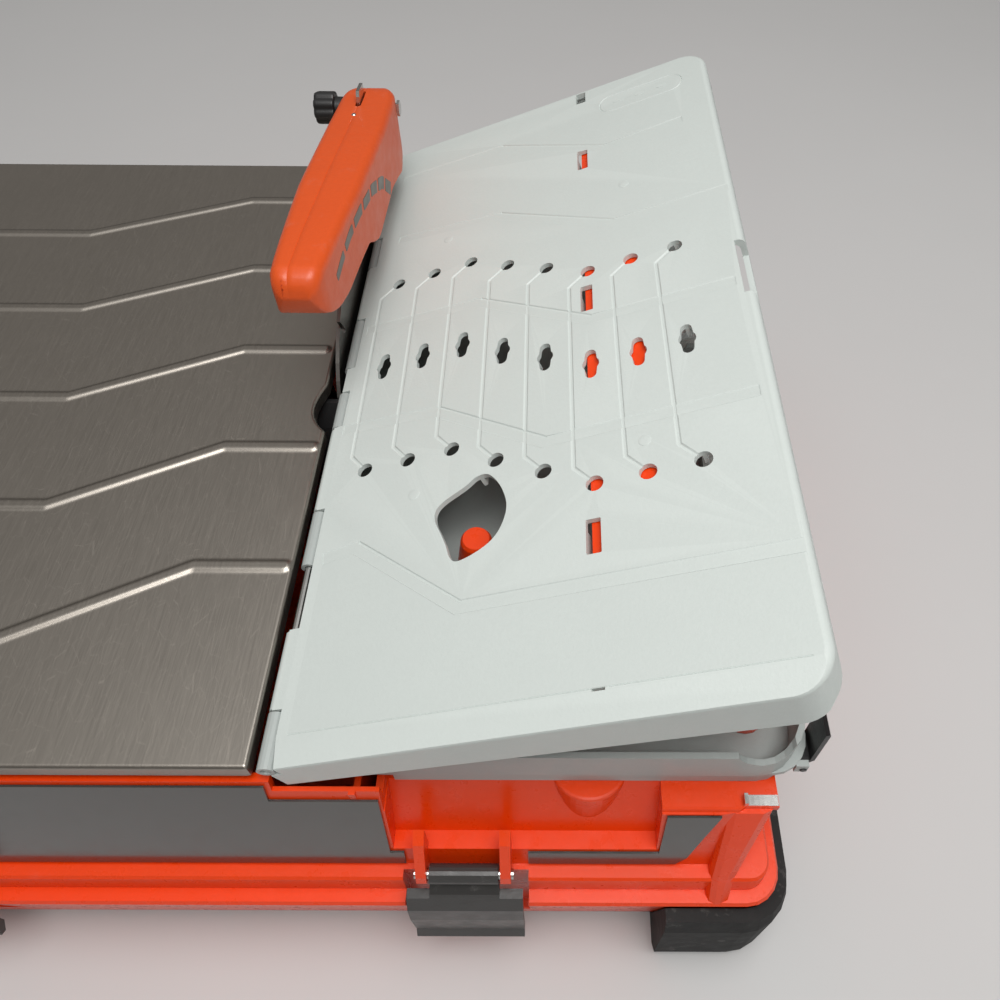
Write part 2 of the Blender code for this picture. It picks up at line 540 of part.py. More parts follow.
def make_lid(hinge):
    """Modelled closed and flat; the hinge's empty stands it ajar."""
    low_x = HINGE_X + 0.0048
    radius = 0.018

    def outline(inset):
        right, front, back = LID_RIGHT - inset, inset, LID_LENGTH - inset
        corner = radius - inset
        return ([(low_x, front)] + arc((right - corner, front + corner), corner, 270, 360, 5)
                + arc((right - corner, back - corner), corner, 0, 90, 5) + [(low_x, back)])

    lid = prism("lid_panel", outline(0), "Z", -LID_LIP, 0, GREY, hinge)
    under = prism("lid_under", outline(LID_SKIN), "Z", -0.04, -LID_SKIN, parent=hinge)
    step = LID_SKIN
    open_left = box("lid_open_left", (0.0, low_x + step), (LID_SKIN, LID_LENGTH - LID_SKIN),
                    (-0.04, -LID_SKIN), parent=hinge)
    slope = prism("lid_front_slope", [(-0.001, 0.001), (-0.001, -0.0042), (0.0018, -0.0042),
                                      (0.0130, 0.0), (0.0130, 0.001)], "X", 0.0, 0.26, parent=hinge)
    heel = box("lid_heel_relief", (0.0, HINGE_X + 0.0105), (-0.01, 0.48), (-0.04, -0.0082),
               parent=hinge)
    cut(lid, under, open_left, slope, heel)
    for i, (low, high) in enumerate(LID_KNUCKLES):
        web = box(f"lid_web_{i}", (HINGE_X, low_x + 0.001), (low, high), (-LID_SKIN, -0.0002),
                  parent=hinge)
        knuckle = rod(f"lid_knuckle_{i}", "Y", (HINGE_X, HINGE_Z), HINGE_RADIUS, low, high, 16,
                      parent=hinge)
        join(lid, web, knuckle)
    cut(lid, rod("lid_hinge_bore", "Y", (HINGE_X, HINGE_Z), ROD_RADIUS + 0.0004, -0.01, 0.48, 12,
                 parent=hinge))
    for i, y in enumerate(FRONT_HOLE_Y):
        x = FIRST_HOLE_X + i * HOLE_PITCH
        for end, centre_y in (("front", y), ("back", y + PEG_SPACING)):
            cut(lid, rod(f"{end}_hole_{i}", "Z", (x, centre_y), HOLE_RADIUS, -0.01, 0.01, 12,
                         parent=hinge))
        cut(lid, prism(f"key_slot_{i}", key_slot(x, y + KEY_OFFSET), "Z", -0.01, 0.01, parent=hinge))
    cut(lid, prism("selector_window", selector_window(), "Z", -0.01, 0.01, parent=hinge))
    for i, span in enumerate(WINDOWS_Y):
        x = (WINDOW_X - WINDOW_HALF, WINDOW_X + WINDOW_HALF)
        cut(lid, box(f"clip_window_{i}", x, span, (-0.01, 0.01), parent=hinge))
    cut(lid, box("side_finger_slot", (0.2420, 0.2500), (0.2094, 0.2509), (-0.014, 0.01),
                 parent=hinge))
    for i, (low, high) in enumerate(WINDOWS_Y[:3]):
        outline = [(0.1520, -LID_SKIN + 0.001), (0.1545, -LID_SKIN + 0.001), (0.1545, -0.0205),
                   (0.1590, -0.0205), (0.1590, -0.0225), (0.1520, -0.0225)]
        clip = prism(f"fence_clip_{i}", outline, "Y", low + 0.003, high - 0.003, parent=hinge)
        join(lid, clip)
    return lid


FENCE_X = (0.1655, 0.1885)
FENCE_Y = (0.048, 0.418)
FENCE_Z = (-0.0200, -0.0036)
FENCE_PEG_Y = (0.158, 0.308)


def make_fence(hinge):
    """The orange rip fence, stored on the lid's underside with its pegs pointing down."""
    centre = sum(FENCE_X) / 2
    fence = box("rip_fence", (0.1570, FENCE_X[1]), FENCE_Y, FENCE_Z, ORANGE, hinge)
    key_y = (FENCE_PEG_Y[0] + KEY_OFFSET)
    pocket = rod("fence_knob_pocket", "Z", (centre, key_y), 0.0092, -0.0100, 0.01, 20, parent=hinge)
    bore = rod("fence_key_bore", "Z", (centre, key_y), 0.0035, -0.03, 0.01, 12, parent=hinge)
    cut(fence, pocket, bore)
    for name, y in zip(("front", "back"), FENCE_PEG_Y):
        rod(f"{name}_fence_peg", "Z", (centre, y), 0.0035, -0.0255, FENCE_Z[0] - GAP, 16, STEEL,
            hinge)
    return centre, key_y


def make_fence_key(hinge, centre, key_y):
    key = rod("fence_key", "Z", (centre, key_y), 0.0030, -0.0225, -0.0090, 12, STEEL, hinge)
    head = box("fence_key_head", (centre - 0.0030, centre + 0.0030), (key_y - 0.0088, key_y + 0.0088),
               (-0.0255, -0.0215), parent=hinge)
    knob = rod("fence_key_knob", "Z", (centre, key_y), 0.0085, -0.0095, -0.0040, 20, parent=hinge)
    join(key, head, knob)


# ---------------------------------------------------------------- selector and wrench in the tray
def make_selector(saw):
    pivot = add_empty("selector_pivot", (SELECTOR_X, SELECTOR_Y, 0), saw)
    knob = turned("selector_knob", "Z", (0, 0),
                  [(0.0001, -0.0255), (0.0108, -0.0255), (0.0108, -0.0120), (0.0078, 0.0080),
                   (0.0066, 0.0100), (0.0001, 0.0100)], 24, ORANGE, pivot)
    pointer = prism("selector_pointer", [(-0.0050, 0.0), (-0.0034, -0.0205), (0.0, -0.0225),
                                         (0.0034, -0.0205), (0.0050, 0.0)], "Z", -0.0250, -0.0040,
                    parent=pivot)
    spindle = rod("selector_spindle", "Z", (0, 0), 0.0046, -0.0440, -0.0200, 16, parent=pivot)
    join(knob, pointer, spindle)
    gate = box("dust_gate", (-0.0140, 0.0140), (-0.0300, 0.0140), (-0.0472, -0.0443), CAST, pivot)
    return gate


def make_wrench(saw):
    """Blade wrench, stored in the tray's right-hand channel."""
    grip = prism("wrench_grip", rounded_rectangle((0.2110, 0.2290), (0.0260, 0.1500), 0.0085, 4), "Z",
                 TRAY_FLOOR + GAP, -0.0110, ORANGE, saw)
    arm = box("wrench_blade", (0.2150, 0.2250), (0.1000, 0.2600), (-0.0210, -0.0170), STEEL, saw)
    head = prism("wrench_head", circle((0.2200, 0.2680), 0.0145, 16), "Z", -0.0210, -0.0170,
                 parent=saw)
    join(arm, head)
    cut(arm, prism("wrench_jaw", circle((0.2200, 0.2690), 0.0090, 6), "Z", -0.03, 0, parent=saw))
    slot = box("wrench_socket", (0.2147, 0.2253), (0.0997, 0.1600), (-0.0213, -0.0167), parent=saw)
    cut(grip, slot)


def make_lid_catch(saw):
    pivot = add_empty("catch_pivot", (0.2460, 0.0225, -0.0340), saw)
    outline = [(-0.0022, 0.0022), (-0.0022, -0.0022), (0.0022, -0.0022), (0.0055, 0.0020),
               (0.0055, 0.0325), (0.0048, 0.0340), (0.0034, 0.0325), (0.0034, 0.0022)]
    catch = prism("lid_catch", outline, "Y", -0.0070, 0.0070, BLACK, pivot)
    return join(catch, rod("catch_pin", "Y", (0, 0), 0.0015, -0.0110, 0.0110, 12, parent=pivot))


# ---------------------------------------------------------------- riving knife and blade guard
def make_riving_knife(saw):
    centre = (BLADE_Y, ARBOR_Z)
    inner = arc(centre, 0.0945, 6, 50, 8)
    outline = [(0.3985, -0.0660)] + inner + [(0.3995, 0.0600), (0.4045, 0.0800), (0.4065, 0.0830),
                                             (0.4200, 0.0815), (0.4200, 0.0695), (0.4275, 0.0655),
                                             (0.4315, 0.0610), (0.4315, 0.0510),
                                             (0.4340, 0.0400), (0.4330, 0.0100), (0.4240, -0.0660)]
    knife = prism("riving_knife", outline, "X", -KNIFE_HALF, KNIFE_HALF, STEEL, saw)
    return cut(knife, rod("knife_pivot_hole", "X", (GUARD_PIVOT_Y, GUARD_PIVOT_Z), 0.0039, -0.01,
                          0.01, 16, parent=saw))


def make_knife_mount(saw):
    mount = box("knife_mount", (0.0015, 0.0110), (0.3975, 0.4300), (-0.0750, -0.0400), CAST, saw)
    join(mount, box("knife_arm", (0.0070, 0.0120), (BLADE_Y + GEARBOX_HALF + GAP, 0.4200),
                    (-0.0740, -0.0410), parent=saw))
    box("knife_clamp_plate", (-0.0060, -0.0015), (0.3975, 0.4300), (-0.0700, -0.0450), STEEL, saw)


GUARD_TOP = ((0.2060, 0.1010), (0.2550, 0.0965), (0.3060, 0.0900), (0.3750, 0.0795), (0.4250, 0.0735))


def guard_outline():
    nose = [(0.2360, 0.0590), (0.2200, 0.0640), (0.2060, 0.0715), (0.1970, 0.0820), (0.1955, 0.0910),
            (0.1990, 0.0985)]
    rear = [(0.4350, 0.0700), (0.4400, 0.0620), (0.4370, 0.0450), (0.4250, 0.0300), (0.4070, 0.0225)]
    foot = [(0.3680, 0.0365), (0.3110, 0.0385), (0.3000, 0.0440), (0.2870, 0.0545)]
    return nose + list(GUARD_TOP) + rear + foot


def guard_half(y, side):
    """From the blade's plane to a guard face: a narrow nose that swells towards the blade."""
    knots = ((0.195, 0.0128), (0.215, 0.0140), (0.290, 0.0183), (0.375, 0.0190), (0.415, 0.0180),
             (0.425, 0.0172), (0.435, 0.0142), (0.440, 0.0095))
    for (y0, w0), (y1, w1) in zip(knots, knots[1:]):
        if y <= y1:
            return w0 + (w1 - w0) * max(0.0, (y - y0) / (y1 - y0)) + side * GUARD_OFFSET
    return knots[-1][1] + side * GUARD_OFFSET


def make_guard(pivot):
    """Two moulded halves that meet on the blade's plane. Coordinates are the saw's."""
    back = (0, -GUARD_PIVOT_Y, -GUARD_PIVOT_Z)
    hollow_outline = [(0.2280, 0.0000), (0.2280, 0.0660), (0.2120, 0.0780), (0.2060, 0.0880),
                      (0.2100, 0.0950), (0.2550, 0.0920), (0.3060, 0.0857), (0.3750, 0.0752),
                      (0.4210, 0.0700), (0.4345, 0.0650), (0.4345, 0.0560), (0.4300, 0.0440),
                      (0.4200, 0.0000)]
    for side, sign in (("left", -1), ("right", 1)):
        x = sorted((sign * GAP / 2, sign * 1.0))
        shell = prism(f"guard_{side}_shell", guard_outline(), "X", x[0], x[1], ORANGE, pivot)
        hollow = prism(f"guard_{side}_hollow", hollow_outline, "X", -0.9 if sign < 0 else -0.01,
                       0.01 if sign < 0 else 0.9, parent=pivot)
        for obj, wall in ((shell, 0.0), (hollow, 0.0028)):
            for vert in obj.data.vertices:
                if abs(vert.co.x) > 0.5:
                    vert.co.x = sign * (guard_half(vert.co.y, sign) - wall)
            obj.data.transform(Matrix.Translation(Vector(back)))
        cut(shell, hollow)
        tip_slot = box(f"guard_{side}_tip_slot", (-0.0019, 0.0019), (-0.0255, -0.0010), (0.0, 0.04),
                       parent=pivot)
        rear_slot = box(f"guard_{side}_rear_slot", (-0.0019, 0.0019), (-0.0100, 0.03),
                        (-0.06, 0.0030), parent=pivot)
        bolt_hole = rod(f"guard_{side}_bolt_hole", "X", (0, 0), 0.0041, -0.03, 0.03, 16, parent=pivot)
        cut(shell, tip_slot, rear_slot, bolt_hole)


def make_guard_screws(pivot):
    places = ((0.222, 0.084), (0.386, 0.046))
    for i, (y, z) in enumerate(places):
        face = guard_half(y, -1)
        rod(f"guard_screw_{i + 1}", "X", (y - GUARD_PIVOT_Y, z - GUARD_PIVOT_Z), 0.0028,
            -face - 0.0016, -face - GAP, 12, STEEL, pivot)


def make_pivot_bolt(saw):
    bolt = rod("guard_pivot_bolt", "X", (GUARD_PIVOT_Y, GUARD_PIVOT_Z), 0.0034, -0.0290, 0.0215, 16,
               STEEL, saw)
    return join(bolt, rod("pivot_bolt_head", "X", (GUARD_PIVOT_Y, GUARD_PIVOT_Z), 0.0052, 0.0208,
                          0.0226, 6, parent=saw))


def make_guard_knob(saw):
    pivot = add_empty("guard_knob_pivot", (0, GUARD_PIVOT_Y, GUARD_PIVOT_Z), saw)
    lobes, steps = 6, 36
    outline = []
    for i in range(steps):
        angle = 2 * math.pi * i / steps
        radius = 0.0108 - 0.0006 * (1 - math.cos(lobes * angle))
        outline.append((radius * math.cos(angle), radius * math.sin(angle)))
    knob = prism("guard_knob", outline, "X", -0.0345, -0.0205, BLACK, pivot)
    collar = rod("knob_collar", "X", (0, 0), 0.0072, -0.0215, -0.0151, 20, parent=pivot)
    bore = rod("knob_bore", "X", (0, 0), 0.0037, -0.0300, 0.0, 16, parent=pivot)
    join(knob, collar)
    return cut(knob, bore)


# ---------------------------------------------------------------- blade, arbor and gears
def make_blade(arbor):
    slots, slot_half_deg, slot_foot = 12, 1.1, BLADE_RADIUS - 0.013
    outline = []
    for i in range(slots):
        start = 360 * i / slots
        outline += arc((0, 0), BLADE_RADIUS, start + slot_half_deg, start + 30 - slot_half_deg, 4)
        outline += arc((0, 0), slot_foot, start + 30 - slot_half_deg, start + 30 + slot_half_deg, 1)
    blade = prism("diamond_blade", outline, "X", -0.0011, 0.0011, DIAMOND, arbor)
    return cut(blade, rod("blade_bore", "X", (0, 0), ARBOR_RADIUS + GAP, -0.01, 0.01, 24,
                          parent=arbor))


def gear_outline(teeth, phase_deg):
    """Trapezoid teeth with generous backlash, one centred on the phase angle."""
    pitch = MODULE * teeth / 2
    tip, root = pitch + 0.8 * MODULE, pitch - 1.2 * MODULE
    outline = []
    for i in range(teeth):
        centre = phase_deg + 360 * i / teeth
        half_tip = math.degrees(0.20 * MODULE * math.pi / 2 / tip)
        half_root = math.degrees(0.62 * MODULE * math.pi / 2 / root)
        for angle, radius in ((-half_root, root), (-half_tip, tip), (half_tip, tip),
                              (half_root, root)):
            turn = math.radians(centre + angle)
            outline.append((radius * math.cos(turn), radius * math.sin(turn)))
    return outline


GEAR_X = (0.0290, 0.0400)


def make_arbor(saw):
    arbor = add_empty("arbor_axis", (0, BLADE_Y, ARBOR_Z), saw)
    make_blade(arbor)
    rod("arbor_shaft", "X", (0, 0), ARBOR_RADIUS, -0.0210, 0.0616, 24, STEEL, arbor)
    tube("inner_flange", "X", (0, 0), ARBOR_RADIUS + GAP, 0.0200, 0.0014, 0.0070, 24, STEEL, arbor)
    tube("outer_flange", "X", (0, 0), ARBOR_RADIUS + GAP, 0.0200, -0.0070, -0.0014, 24, STEEL, arbor)
    nut = rod("arbor_nut", "X", (0, 0), 0.0135, -0.0170, -0.0073, 6, STEEL, arbor)
    cut(nut, rod("nut_bore", "X", (0, 0), ARBOR_RADIUS + GAP, -0.03, 0, 24, parent=arbor))
    gear = prism("driven_gear", gear_outline(GEAR_TEETH, -90.0), "X", *GEAR_X, STEEL, arbor)
    cut(gear, rod("gear_bore", "X", (0, 0), ARBOR_RADIUS + GAP, 0.02, 0.05, 24, parent=arbor))
    return arbor


def make_armature(saw):
    axis = add_empty("armature_axis", (0, BLADE_Y, MOTOR_Z), saw)
    shaft = rod("armature_shaft", "X", (0, 0), 0.0042, 0.0270, 0.1900, 16, STEEL, axis)
    pinion_phase = 90.0 + 180.0 / PINION_TEETH
    pinion = prism("pinion", gear_outline(PINION_TEETH, pinion_phase), "X", *GEAR_X, STEEL, axis)
    cut(pinion, rod("pinion_bore", "X", (0, 0), 0.0042 + GAP, 0.02, 0.05, 16, parent=axis))
    tube("armature_core", "X", (0, 0), 0.0042 + GAP, 0.0200, 0.0940, 0.1460, 24, COPPER, axis)
    tube("commutator", "X", (0, 0), 0.0042 + GAP, 0.0110, 0.1560, 0.1700, 20, COPPER, axis)
    fan = tube("motor_fan", "X", (0, 0), 0.0042 + GAP, 0.0100, 0.0700, 0.0820, 20, BLACK, axis)
    blades = 9
    for i in range(blades):
        angle = 2 * math.pi * i / blades
        vane = box(f"fan_vane_{i}", (0.0705, 0.0815), (-0.0007, 0.0007), (0.0090, 0.0320), parent=axis)
        vane.rotation_euler = (angle, 0, 0)
        join(fan, vane)
    return shaft


def make_gearbox(saw):
    y, z = (BLADE_Y - GEARBOX_HALF, BLADE_Y + GEARBOX_HALF), (-0.1165, -0.0330)
    housing = box("gearbox_housing", (0.0124, 0.0620), y, z, CAST, saw)
    cavity = box("gearbox_cavity", (0.0, 0.0500), (y[0] + 0.0030, y[1] - 0.0030),
                 (z[0] + 0.0030, z[1] - 0.0030), parent=saw)
    cut(housing, cavity,
        rod("arbor_seat", "X", (BLADE_Y, ARBOR_Z), 0.0143, 0.045, 0.07, 24, parent=saw),
        rod("motor_seat", "X", (BLADE_Y, MOTOR_Z), 0.0103, 0.045, 0.07, 24, parent=saw))
    cover = box("gearbox_cover", (0.0085, 0.0121), y, z, CAST, saw)
    join(cover, tube("cover_boss", "X", (BLADE_Y, ARBOR_Z), 0.0143, 0.0172, 0.0115, 0.0220, 24,
                     parent=saw))
    cut(cover, rod("cover_hole", "X", (BLADE_Y, ARBOR_Z), 0.0105, 0.0, 0.03, 24, parent=saw))
    return cover


def make_bearings(saw):
    shaft = ARBOR_RADIUS + GAP
    arbor, motor = (BLADE_Y, ARBOR_Z), (BLADE_Y, MOTOR_Z)
    tube("arbor_front_bearing", "X", arbor, shaft, 0.0140, 0.0125, 0.0215, 24, STEEL, saw)
    tube("arbor_rear_bearing", "X", arbor, shaft, 0.0140, 0.0505, 0.0615, 24, STEEL, saw)
    tube("armature_front_bearing", "X", motor, 0.0045, 0.0100, 0.0530, 0.0615, 20, STEEL, saw)
    tube("armature_rear_bearing", "X", motor, 0.0045, 0.0100, 0.1790, 0.1870, 20, STEEL, saw)


def make_motor(saw):
    centre = (BLADE_Y, MOTOR_Z)
    outer, wall, low, high = 0.0375, 0.0025, 0.0625, 0.1960
    profile = [(0.0130, low), (outer, low), (outer, high), (0.0103, high), (0.0103, 0.1780),
               (0.0135, 0.1780), (0.0135, 0.1910), (outer - wall, 0.1910), (outer - wall, low + 0.004),
               (0.0130, low + 0.004)]
    housing = turned("motor_housing", "X", centre, profile, 36, ORANGE, saw)
    vents = 8
    for i in range(vents):
        vent = box(f"motor_vent_{i}", (0.1735, 0.1800), (-0.0035, 0.0035), (0.030, 0.045), parent=saw)
        vent.location = (0, BLADE_Y, MOTOR_Z)
        vent.rotation_euler = (2 * math.pi * (i + 0.5) / vents, 0, 0)
        cut(housing, vent)
    for name, sign in (("upper", 1), ("lower", -1)):
        z = (MOTOR_Z + sign * 0.030, MOTOR_Z + sign * 0.040)
        hole = box(f"{name}_brush_hole", (0.1570, 0.1690), (BLADE_Y - 0.0060, BLADE_Y + 0.0060),
                   sorted(z), parent=saw)
        cut(housing, hole)
        brush_z = sorted((MOTOR_Z + sign * 0.0116, MOTOR_Z + sign * 0.0390))
        box(f"{name}_brush_holder", (0.1580, 0.1680), (BLADE_Y - 0.0050, BLADE_Y + 0.0050), brush_z,
            BLACK, saw)
    tube("stator", "X", centre, 0.0210, outer - wall - GAP, 0.0900, 0.1500, 32, COPPER, saw)
    return housing


def make_blade_shroud(saw):
    """Case around the lower half of the blade, open at the top and at its dust outlet."""
    centre = (BLADE_Y, ARBOR_Z)

    def outline(radius, top):
        mouth = math.degrees(math.asin((top - ARBOR_Z) / radius))
        return arc(centre, radius, mouth, -180 - mouth, 24)

    shroud = prism("blade_shroud", outline(0.0937, -0.0125), "X", -0.0240, 0.0065, BLACK, saw)
    hollow = prism("shroud_hollow", outline(0.0912, 0.0), "X", -0.0215, 0.0045, parent=saw)
    cut(shroud, hollow,
        rod("flange_hole", "X", centre, 0.0225, 0.0, 0.02, 24, parent=saw),
        rod("nut_access", "X", centre, 0.0225, -0.03, -0.01, 24, parent=saw),
        box("dust_outlet", (-0.0180, 0.0020), (BLADE_Y + 0.030, BLADE_Y + 0.075), (-0.17, -0.115),
            parent=saw))
    return shroud


# ---------------------------------------------------------------- latches, switch, cable gland
def make_latches(saw):
    for side, centre in zip(("right", "left"), LATCH_CENTRES):
        pivot = add_empty(f"{side}_latch_pivot", (centre, LATCH_PIN_Y, LATCH_PIN_Z), saw)
        outline = [(0.0010, -0.0045), (-0.0030, -0.0040), (-0.0075, -0.0075), (-0.0125, -0.0180),
                   (-0.0140, -0.0310), (-0.0135, -0.0560), (-0.0160, -0.0620), (-0.0135, -0.0640),
                   (-0.0095, -0.0590), (-0.0100, -0.0310), (-0.0085, -0.0195), (-0.0035, -0.0085),
                   (0.0010, -0.0070)]
        lever = prism(f"{side}_latch", outline, "X", -LATCH_HALF, LATCH_HALF, TRIM, pivot)
        inner = LATCH_GUSSET - GUSSET_HALF - 0.0010
        barrel = rod(f"{side}_latch_barrel", "X", (0, 0), 0.0046, -inner, inner, 16, parent=pivot)
        neck = box(f"{side}_latch_neck", (-inner, inner), (-0.0034, 0.0008), (-0.0065, 0.0),
                   parent=pivot)
        join(lever, barrel, neck)
        for end, sign in (("inner", -1), ("outer", 1)):
            x = sorted((sign * (inner + 0.0002), sign * (LATCH_HALF + 0.0015)))
            cut(lever, box(f"{side}_latch_{end}_notch", x, (-0.02, 0.02), (-0.0100, 0.01),
                           parent=pivot))
        cut(lever, rod(f"{side}_latch_pin_bore", "X", (0, 0), 0.0028, -0.03, 0.03, 16, parent=pivot))
        reach = LATCH_GUSSET + GUSSET_HALF + 0.0012
        rod(f"{side}_latch_pin", "X", (LATCH_PIN_Y, LATCH_PIN_Z), 0.0024, centre - reach,
            centre + reach, 16, STEEL, saw)


def make_switch(saw):
    lean = math.atan2(FRONT_TOP_Y - FRONT_FOOT_Y, BODY_TOP - BODY_FOOT)
    place = (SWITCH_X, front_y(SWITCH_Z), SWITCH_Z)
    base = add_empty("switch_base", place, saw, (-lean, 0, 0))
    frame = box("switch_frame", (-0.0250, 0.0250), (-0.0040, -0.0012), (-0.0185, 0.0185), BLACK, base)
    sleeve = box("switch_sleeve", (-0.0190, 0.0190), (-0.0020, 0.0220), (-0.0125, 0.0125),
                 parent=base)
    join(frame, sleeve)
    cut(frame, box("switch_well", (-0.0165, 0.0165), (-0.01, 0.0190), (-0.0100, 0.0100), parent=base))
    turn = add_empty("rocker_pivot", (0, 0.0060, 0), base)
    rocker = prism("switch_rocker", [(0.0060, -0.0025), (0.0060, 0.0025), (-0.0090, 0.0066),
                                     (-0.0115, 0.0062), (-0.0085, 0.0), (-0.0090, -0.0066)],
                   "X", -0.0158, 0.0158, BLACK, turn)
    return rocker


def make_cable_gland(saw):
    profile = [(0.0036, 0.4360), (0.0078, 0.4360), (0.0078, 0.4475), (0.0115, 0.4475),
               (0.0115, 0.4515), (0.0075, 0.4520), (0.0055, 0.4780), (0.0036, 0.4780)]
    return turned("cable_gland", "Y", (GLAND_X, GLAND_Z), profile, 24, RUBBER, saw)


def main():
    clear_scene()
    saw = add_empty("saw", (SAW_X, SAW_Y, TABLE_HEIGHT))
    make_dust_tray(saw)
    make_rubber_corners(saw)
    make_body(saw)
    make_front_trim(saw)
    make_corner_bracket(saw)
    make_table(saw)
    make_side_tray(saw)
    make_hinge_rod(saw)
    hinge = add_empty("lid_hinge", (HINGE_X, 0, HINGE_Z), saw, (0, -math.radians(LID_OPEN_DEG), 0))
    closed = add_empty("lid_closed_frame", (-HINGE_X, 0, -HINGE_Z), hinge)
    make_lid(closed)
    centre, key_y = make_fence(closed)
    make_fence_key(closed, centre, key_y)
    make_selector(saw)
    make_wrench(saw)
    make_lid_catch(saw)
    make_riving_knife(saw)
    make_knife_mount(saw)
    guard_pivot = add_empty("guard_pivot", (0, GUARD_PIVOT_Y, GUARD_PIVOT_Z), saw)
    make_guard(guard_pivot)
    make_guard_screws(guard_pivot)
    make_pivot_bolt(saw)
    make_guard_knob(saw)
    make_arbor(saw)
    make_armature(saw)
    make_gearbox(saw)
    make_bearings(saw)
    make_motor(saw)
    make_blade_shroud(saw)
    make_latches(saw)
    make_switch(saw)
    make_cable_gland(saw)


main()
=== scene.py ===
"""Looks of the table-top tile saw.

Pieces are modelled in the saw's frame (x right of the blade, y back from the table's front edge,
z up from the table's top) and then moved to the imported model's frame. Lid pieces are modelled on
the closed, flat lid.
"""

import math

import bmesh
import bpy
from mathutils import Matrix, Vector


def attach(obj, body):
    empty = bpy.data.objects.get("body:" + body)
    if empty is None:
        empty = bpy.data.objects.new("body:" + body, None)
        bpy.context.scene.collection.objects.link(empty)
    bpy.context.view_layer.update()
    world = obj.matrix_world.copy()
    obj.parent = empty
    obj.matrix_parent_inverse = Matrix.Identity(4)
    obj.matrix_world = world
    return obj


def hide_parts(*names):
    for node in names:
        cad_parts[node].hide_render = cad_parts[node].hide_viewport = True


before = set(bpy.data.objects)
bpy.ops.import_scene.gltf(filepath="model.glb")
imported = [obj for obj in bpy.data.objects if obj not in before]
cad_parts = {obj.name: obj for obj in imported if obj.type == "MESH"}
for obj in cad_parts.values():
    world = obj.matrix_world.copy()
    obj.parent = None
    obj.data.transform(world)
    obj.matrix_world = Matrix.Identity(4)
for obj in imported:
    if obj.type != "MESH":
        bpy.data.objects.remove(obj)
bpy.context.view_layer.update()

SAW = Matrix.Translation((0.048, -0.2215, 0.190))
HINGE = Vector((0.0075, 0.0, -0.004))
LID_OPEN = math.radians(21.08)
LID = (SAW @ Matrix.Translation(HINGE) @ Matrix.Rotation(-LID_OPEN, 4, "Y")
       @ Matrix.Translation(-HINGE))
LID_RIGHT, LID_LENGTH, LID_SKIN, LID_LIP = 0.248, 0.4635, 0.003, 0.025
PIVOT = (0.425, 0.061)        # the guard's pivot, in y and z
TAU = 2 * math.pi


# ---------------------------------------------------------------- outlines
def arc(cx, cy, radius, start, end, steps):
    """Points on an arc in degrees, both ends included."""
    angles = [math.radians(start + (end - start) * i / steps) for i in range(steps + 1)]
    return [(cx + radius * math.cos(a), cy + radius * math.sin(a)) for a in angles]


def circle(cx, cy, radius, steps):
    """A closed outline, without a repeated last point."""
    return arc(cx, cy, radius, 0, 360 * (steps - 1) / steps, steps - 1)


def rounded(points, radii, steps=6):
    """A closed outline with its corners rounded. radii is one number or one for each corner."""
    if not isinstance(radii, (list, tuple)):
        radii = [radii] * len(points)
    out = []
    for i, corner in enumerate(points):
        radius = radii[i]
        p = Vector(corner)
        a, b = Vector(points[i - 1]) - p, Vector(points[(i + 1) % len(points)]) - p
        if radius <= 0:
            out.append(tuple(p))
            continue
        a_dir, b_dir = a.normalized(), b.normalized()
        half = math.acos(max(-1, min(1, a_dir.dot(b_dir)))) / 2
        reach = min(radius / math.tan(half), a.length * 0.49, b.length * 0.49)
        radius = reach * math.tan(half)
        centre = p + (a_dir + b_dir).normalized() * (radius / math.sin(half))
        start, end = p + a_dir * reach - centre, p + b_dir * reach - centre
        turn = math.atan2(start.x * end.y - start.y * end.x, start.dot(end))
        first = math.atan2(start.y, start.x)
        for k in range(steps + 1):
            angle = first + turn * k / steps
            out.append((centre.x + radius * math.cos(angle), centre.y + radius * math.sin(angle)))
    return out


def smooth_closed(points, steps=5):
    """A closed curve through the points (Catmull-Rom)."""
    out, count = [], len(points)
    for i in range(count):
        p0, p1, p2, p3 = (Vector(points[(i + k - 1) % count]) for k in range(4))
        for k in range(steps):
            t = k / steps
            square = (2 * p0 - 5 * p1 + 4 * p2 - p3) * t * t
            cube = (3 * p1 - p0 - 3 * p2 + p3) * t ** 3
            out.append(tuple(0.5 * ((2 * p1) + (p2 - p0) * t + square + cube)))
    return out


def box_outline(x, y):
    return [(x[0], y[0]), (x[1], y[0]), (x[1], y[1]), (x[0], y[1])]


def interpolate(knots, value):
    """Piecewise linear through (value, result) knots, flat outside."""
    if value <= knots[0][0]:
        return knots[0][1]
    for (a, fa), (b, fb) in zip(knots, knots[1:]):
        if value <= b:
            return fa + (fb - fa) * (value - a) / (b - a)
    return knots[-1][1]


def ease(t):
    """A smooth step from 0 to 1."""
    t = max(0.0, min(1.0, t))
    return t * t * (3 - 2 * t)


# ---------------------------------------------------------------- meshes
AXES = {"X": (1, 2, 0), "Y": (0, 2, 1), "Z": (0, 1, 2)}
WELD_DISTANCE = 1e-6


def spot(axis, a, b, along):
    """The point (a, b) of a section across an axis, at a distance along that axis."""
    point = [0.0, 0.0, 0.0]
    i, j, k = AXES[axis]
    point[i], point[j], point[k] = a, b, along
    return Vector(point)


def loft(bm, rings, closed_rings=True, caps=True, joined=False):
    """Skins rings of points with equal counts into bm."""
    loops = [[bm.verts.new(p) for p in ring] for ring in rings]
    pairs = list(zip(loops, loops[1:]))
    if joined:
        pairs.append((loops[-1], loops[0]))
    count = len(loops[0])
    for low, high in pairs:
        for i in range(count if closed_rings else count - 1):
            j = (i + 1) % count
            bm.faces.new((low[i], low[j], high[j], high[i]))
    if caps and not joined:
        bm.faces.new(loops[0][::-1])
        bm.faces.new(loops[-1])
    return loops


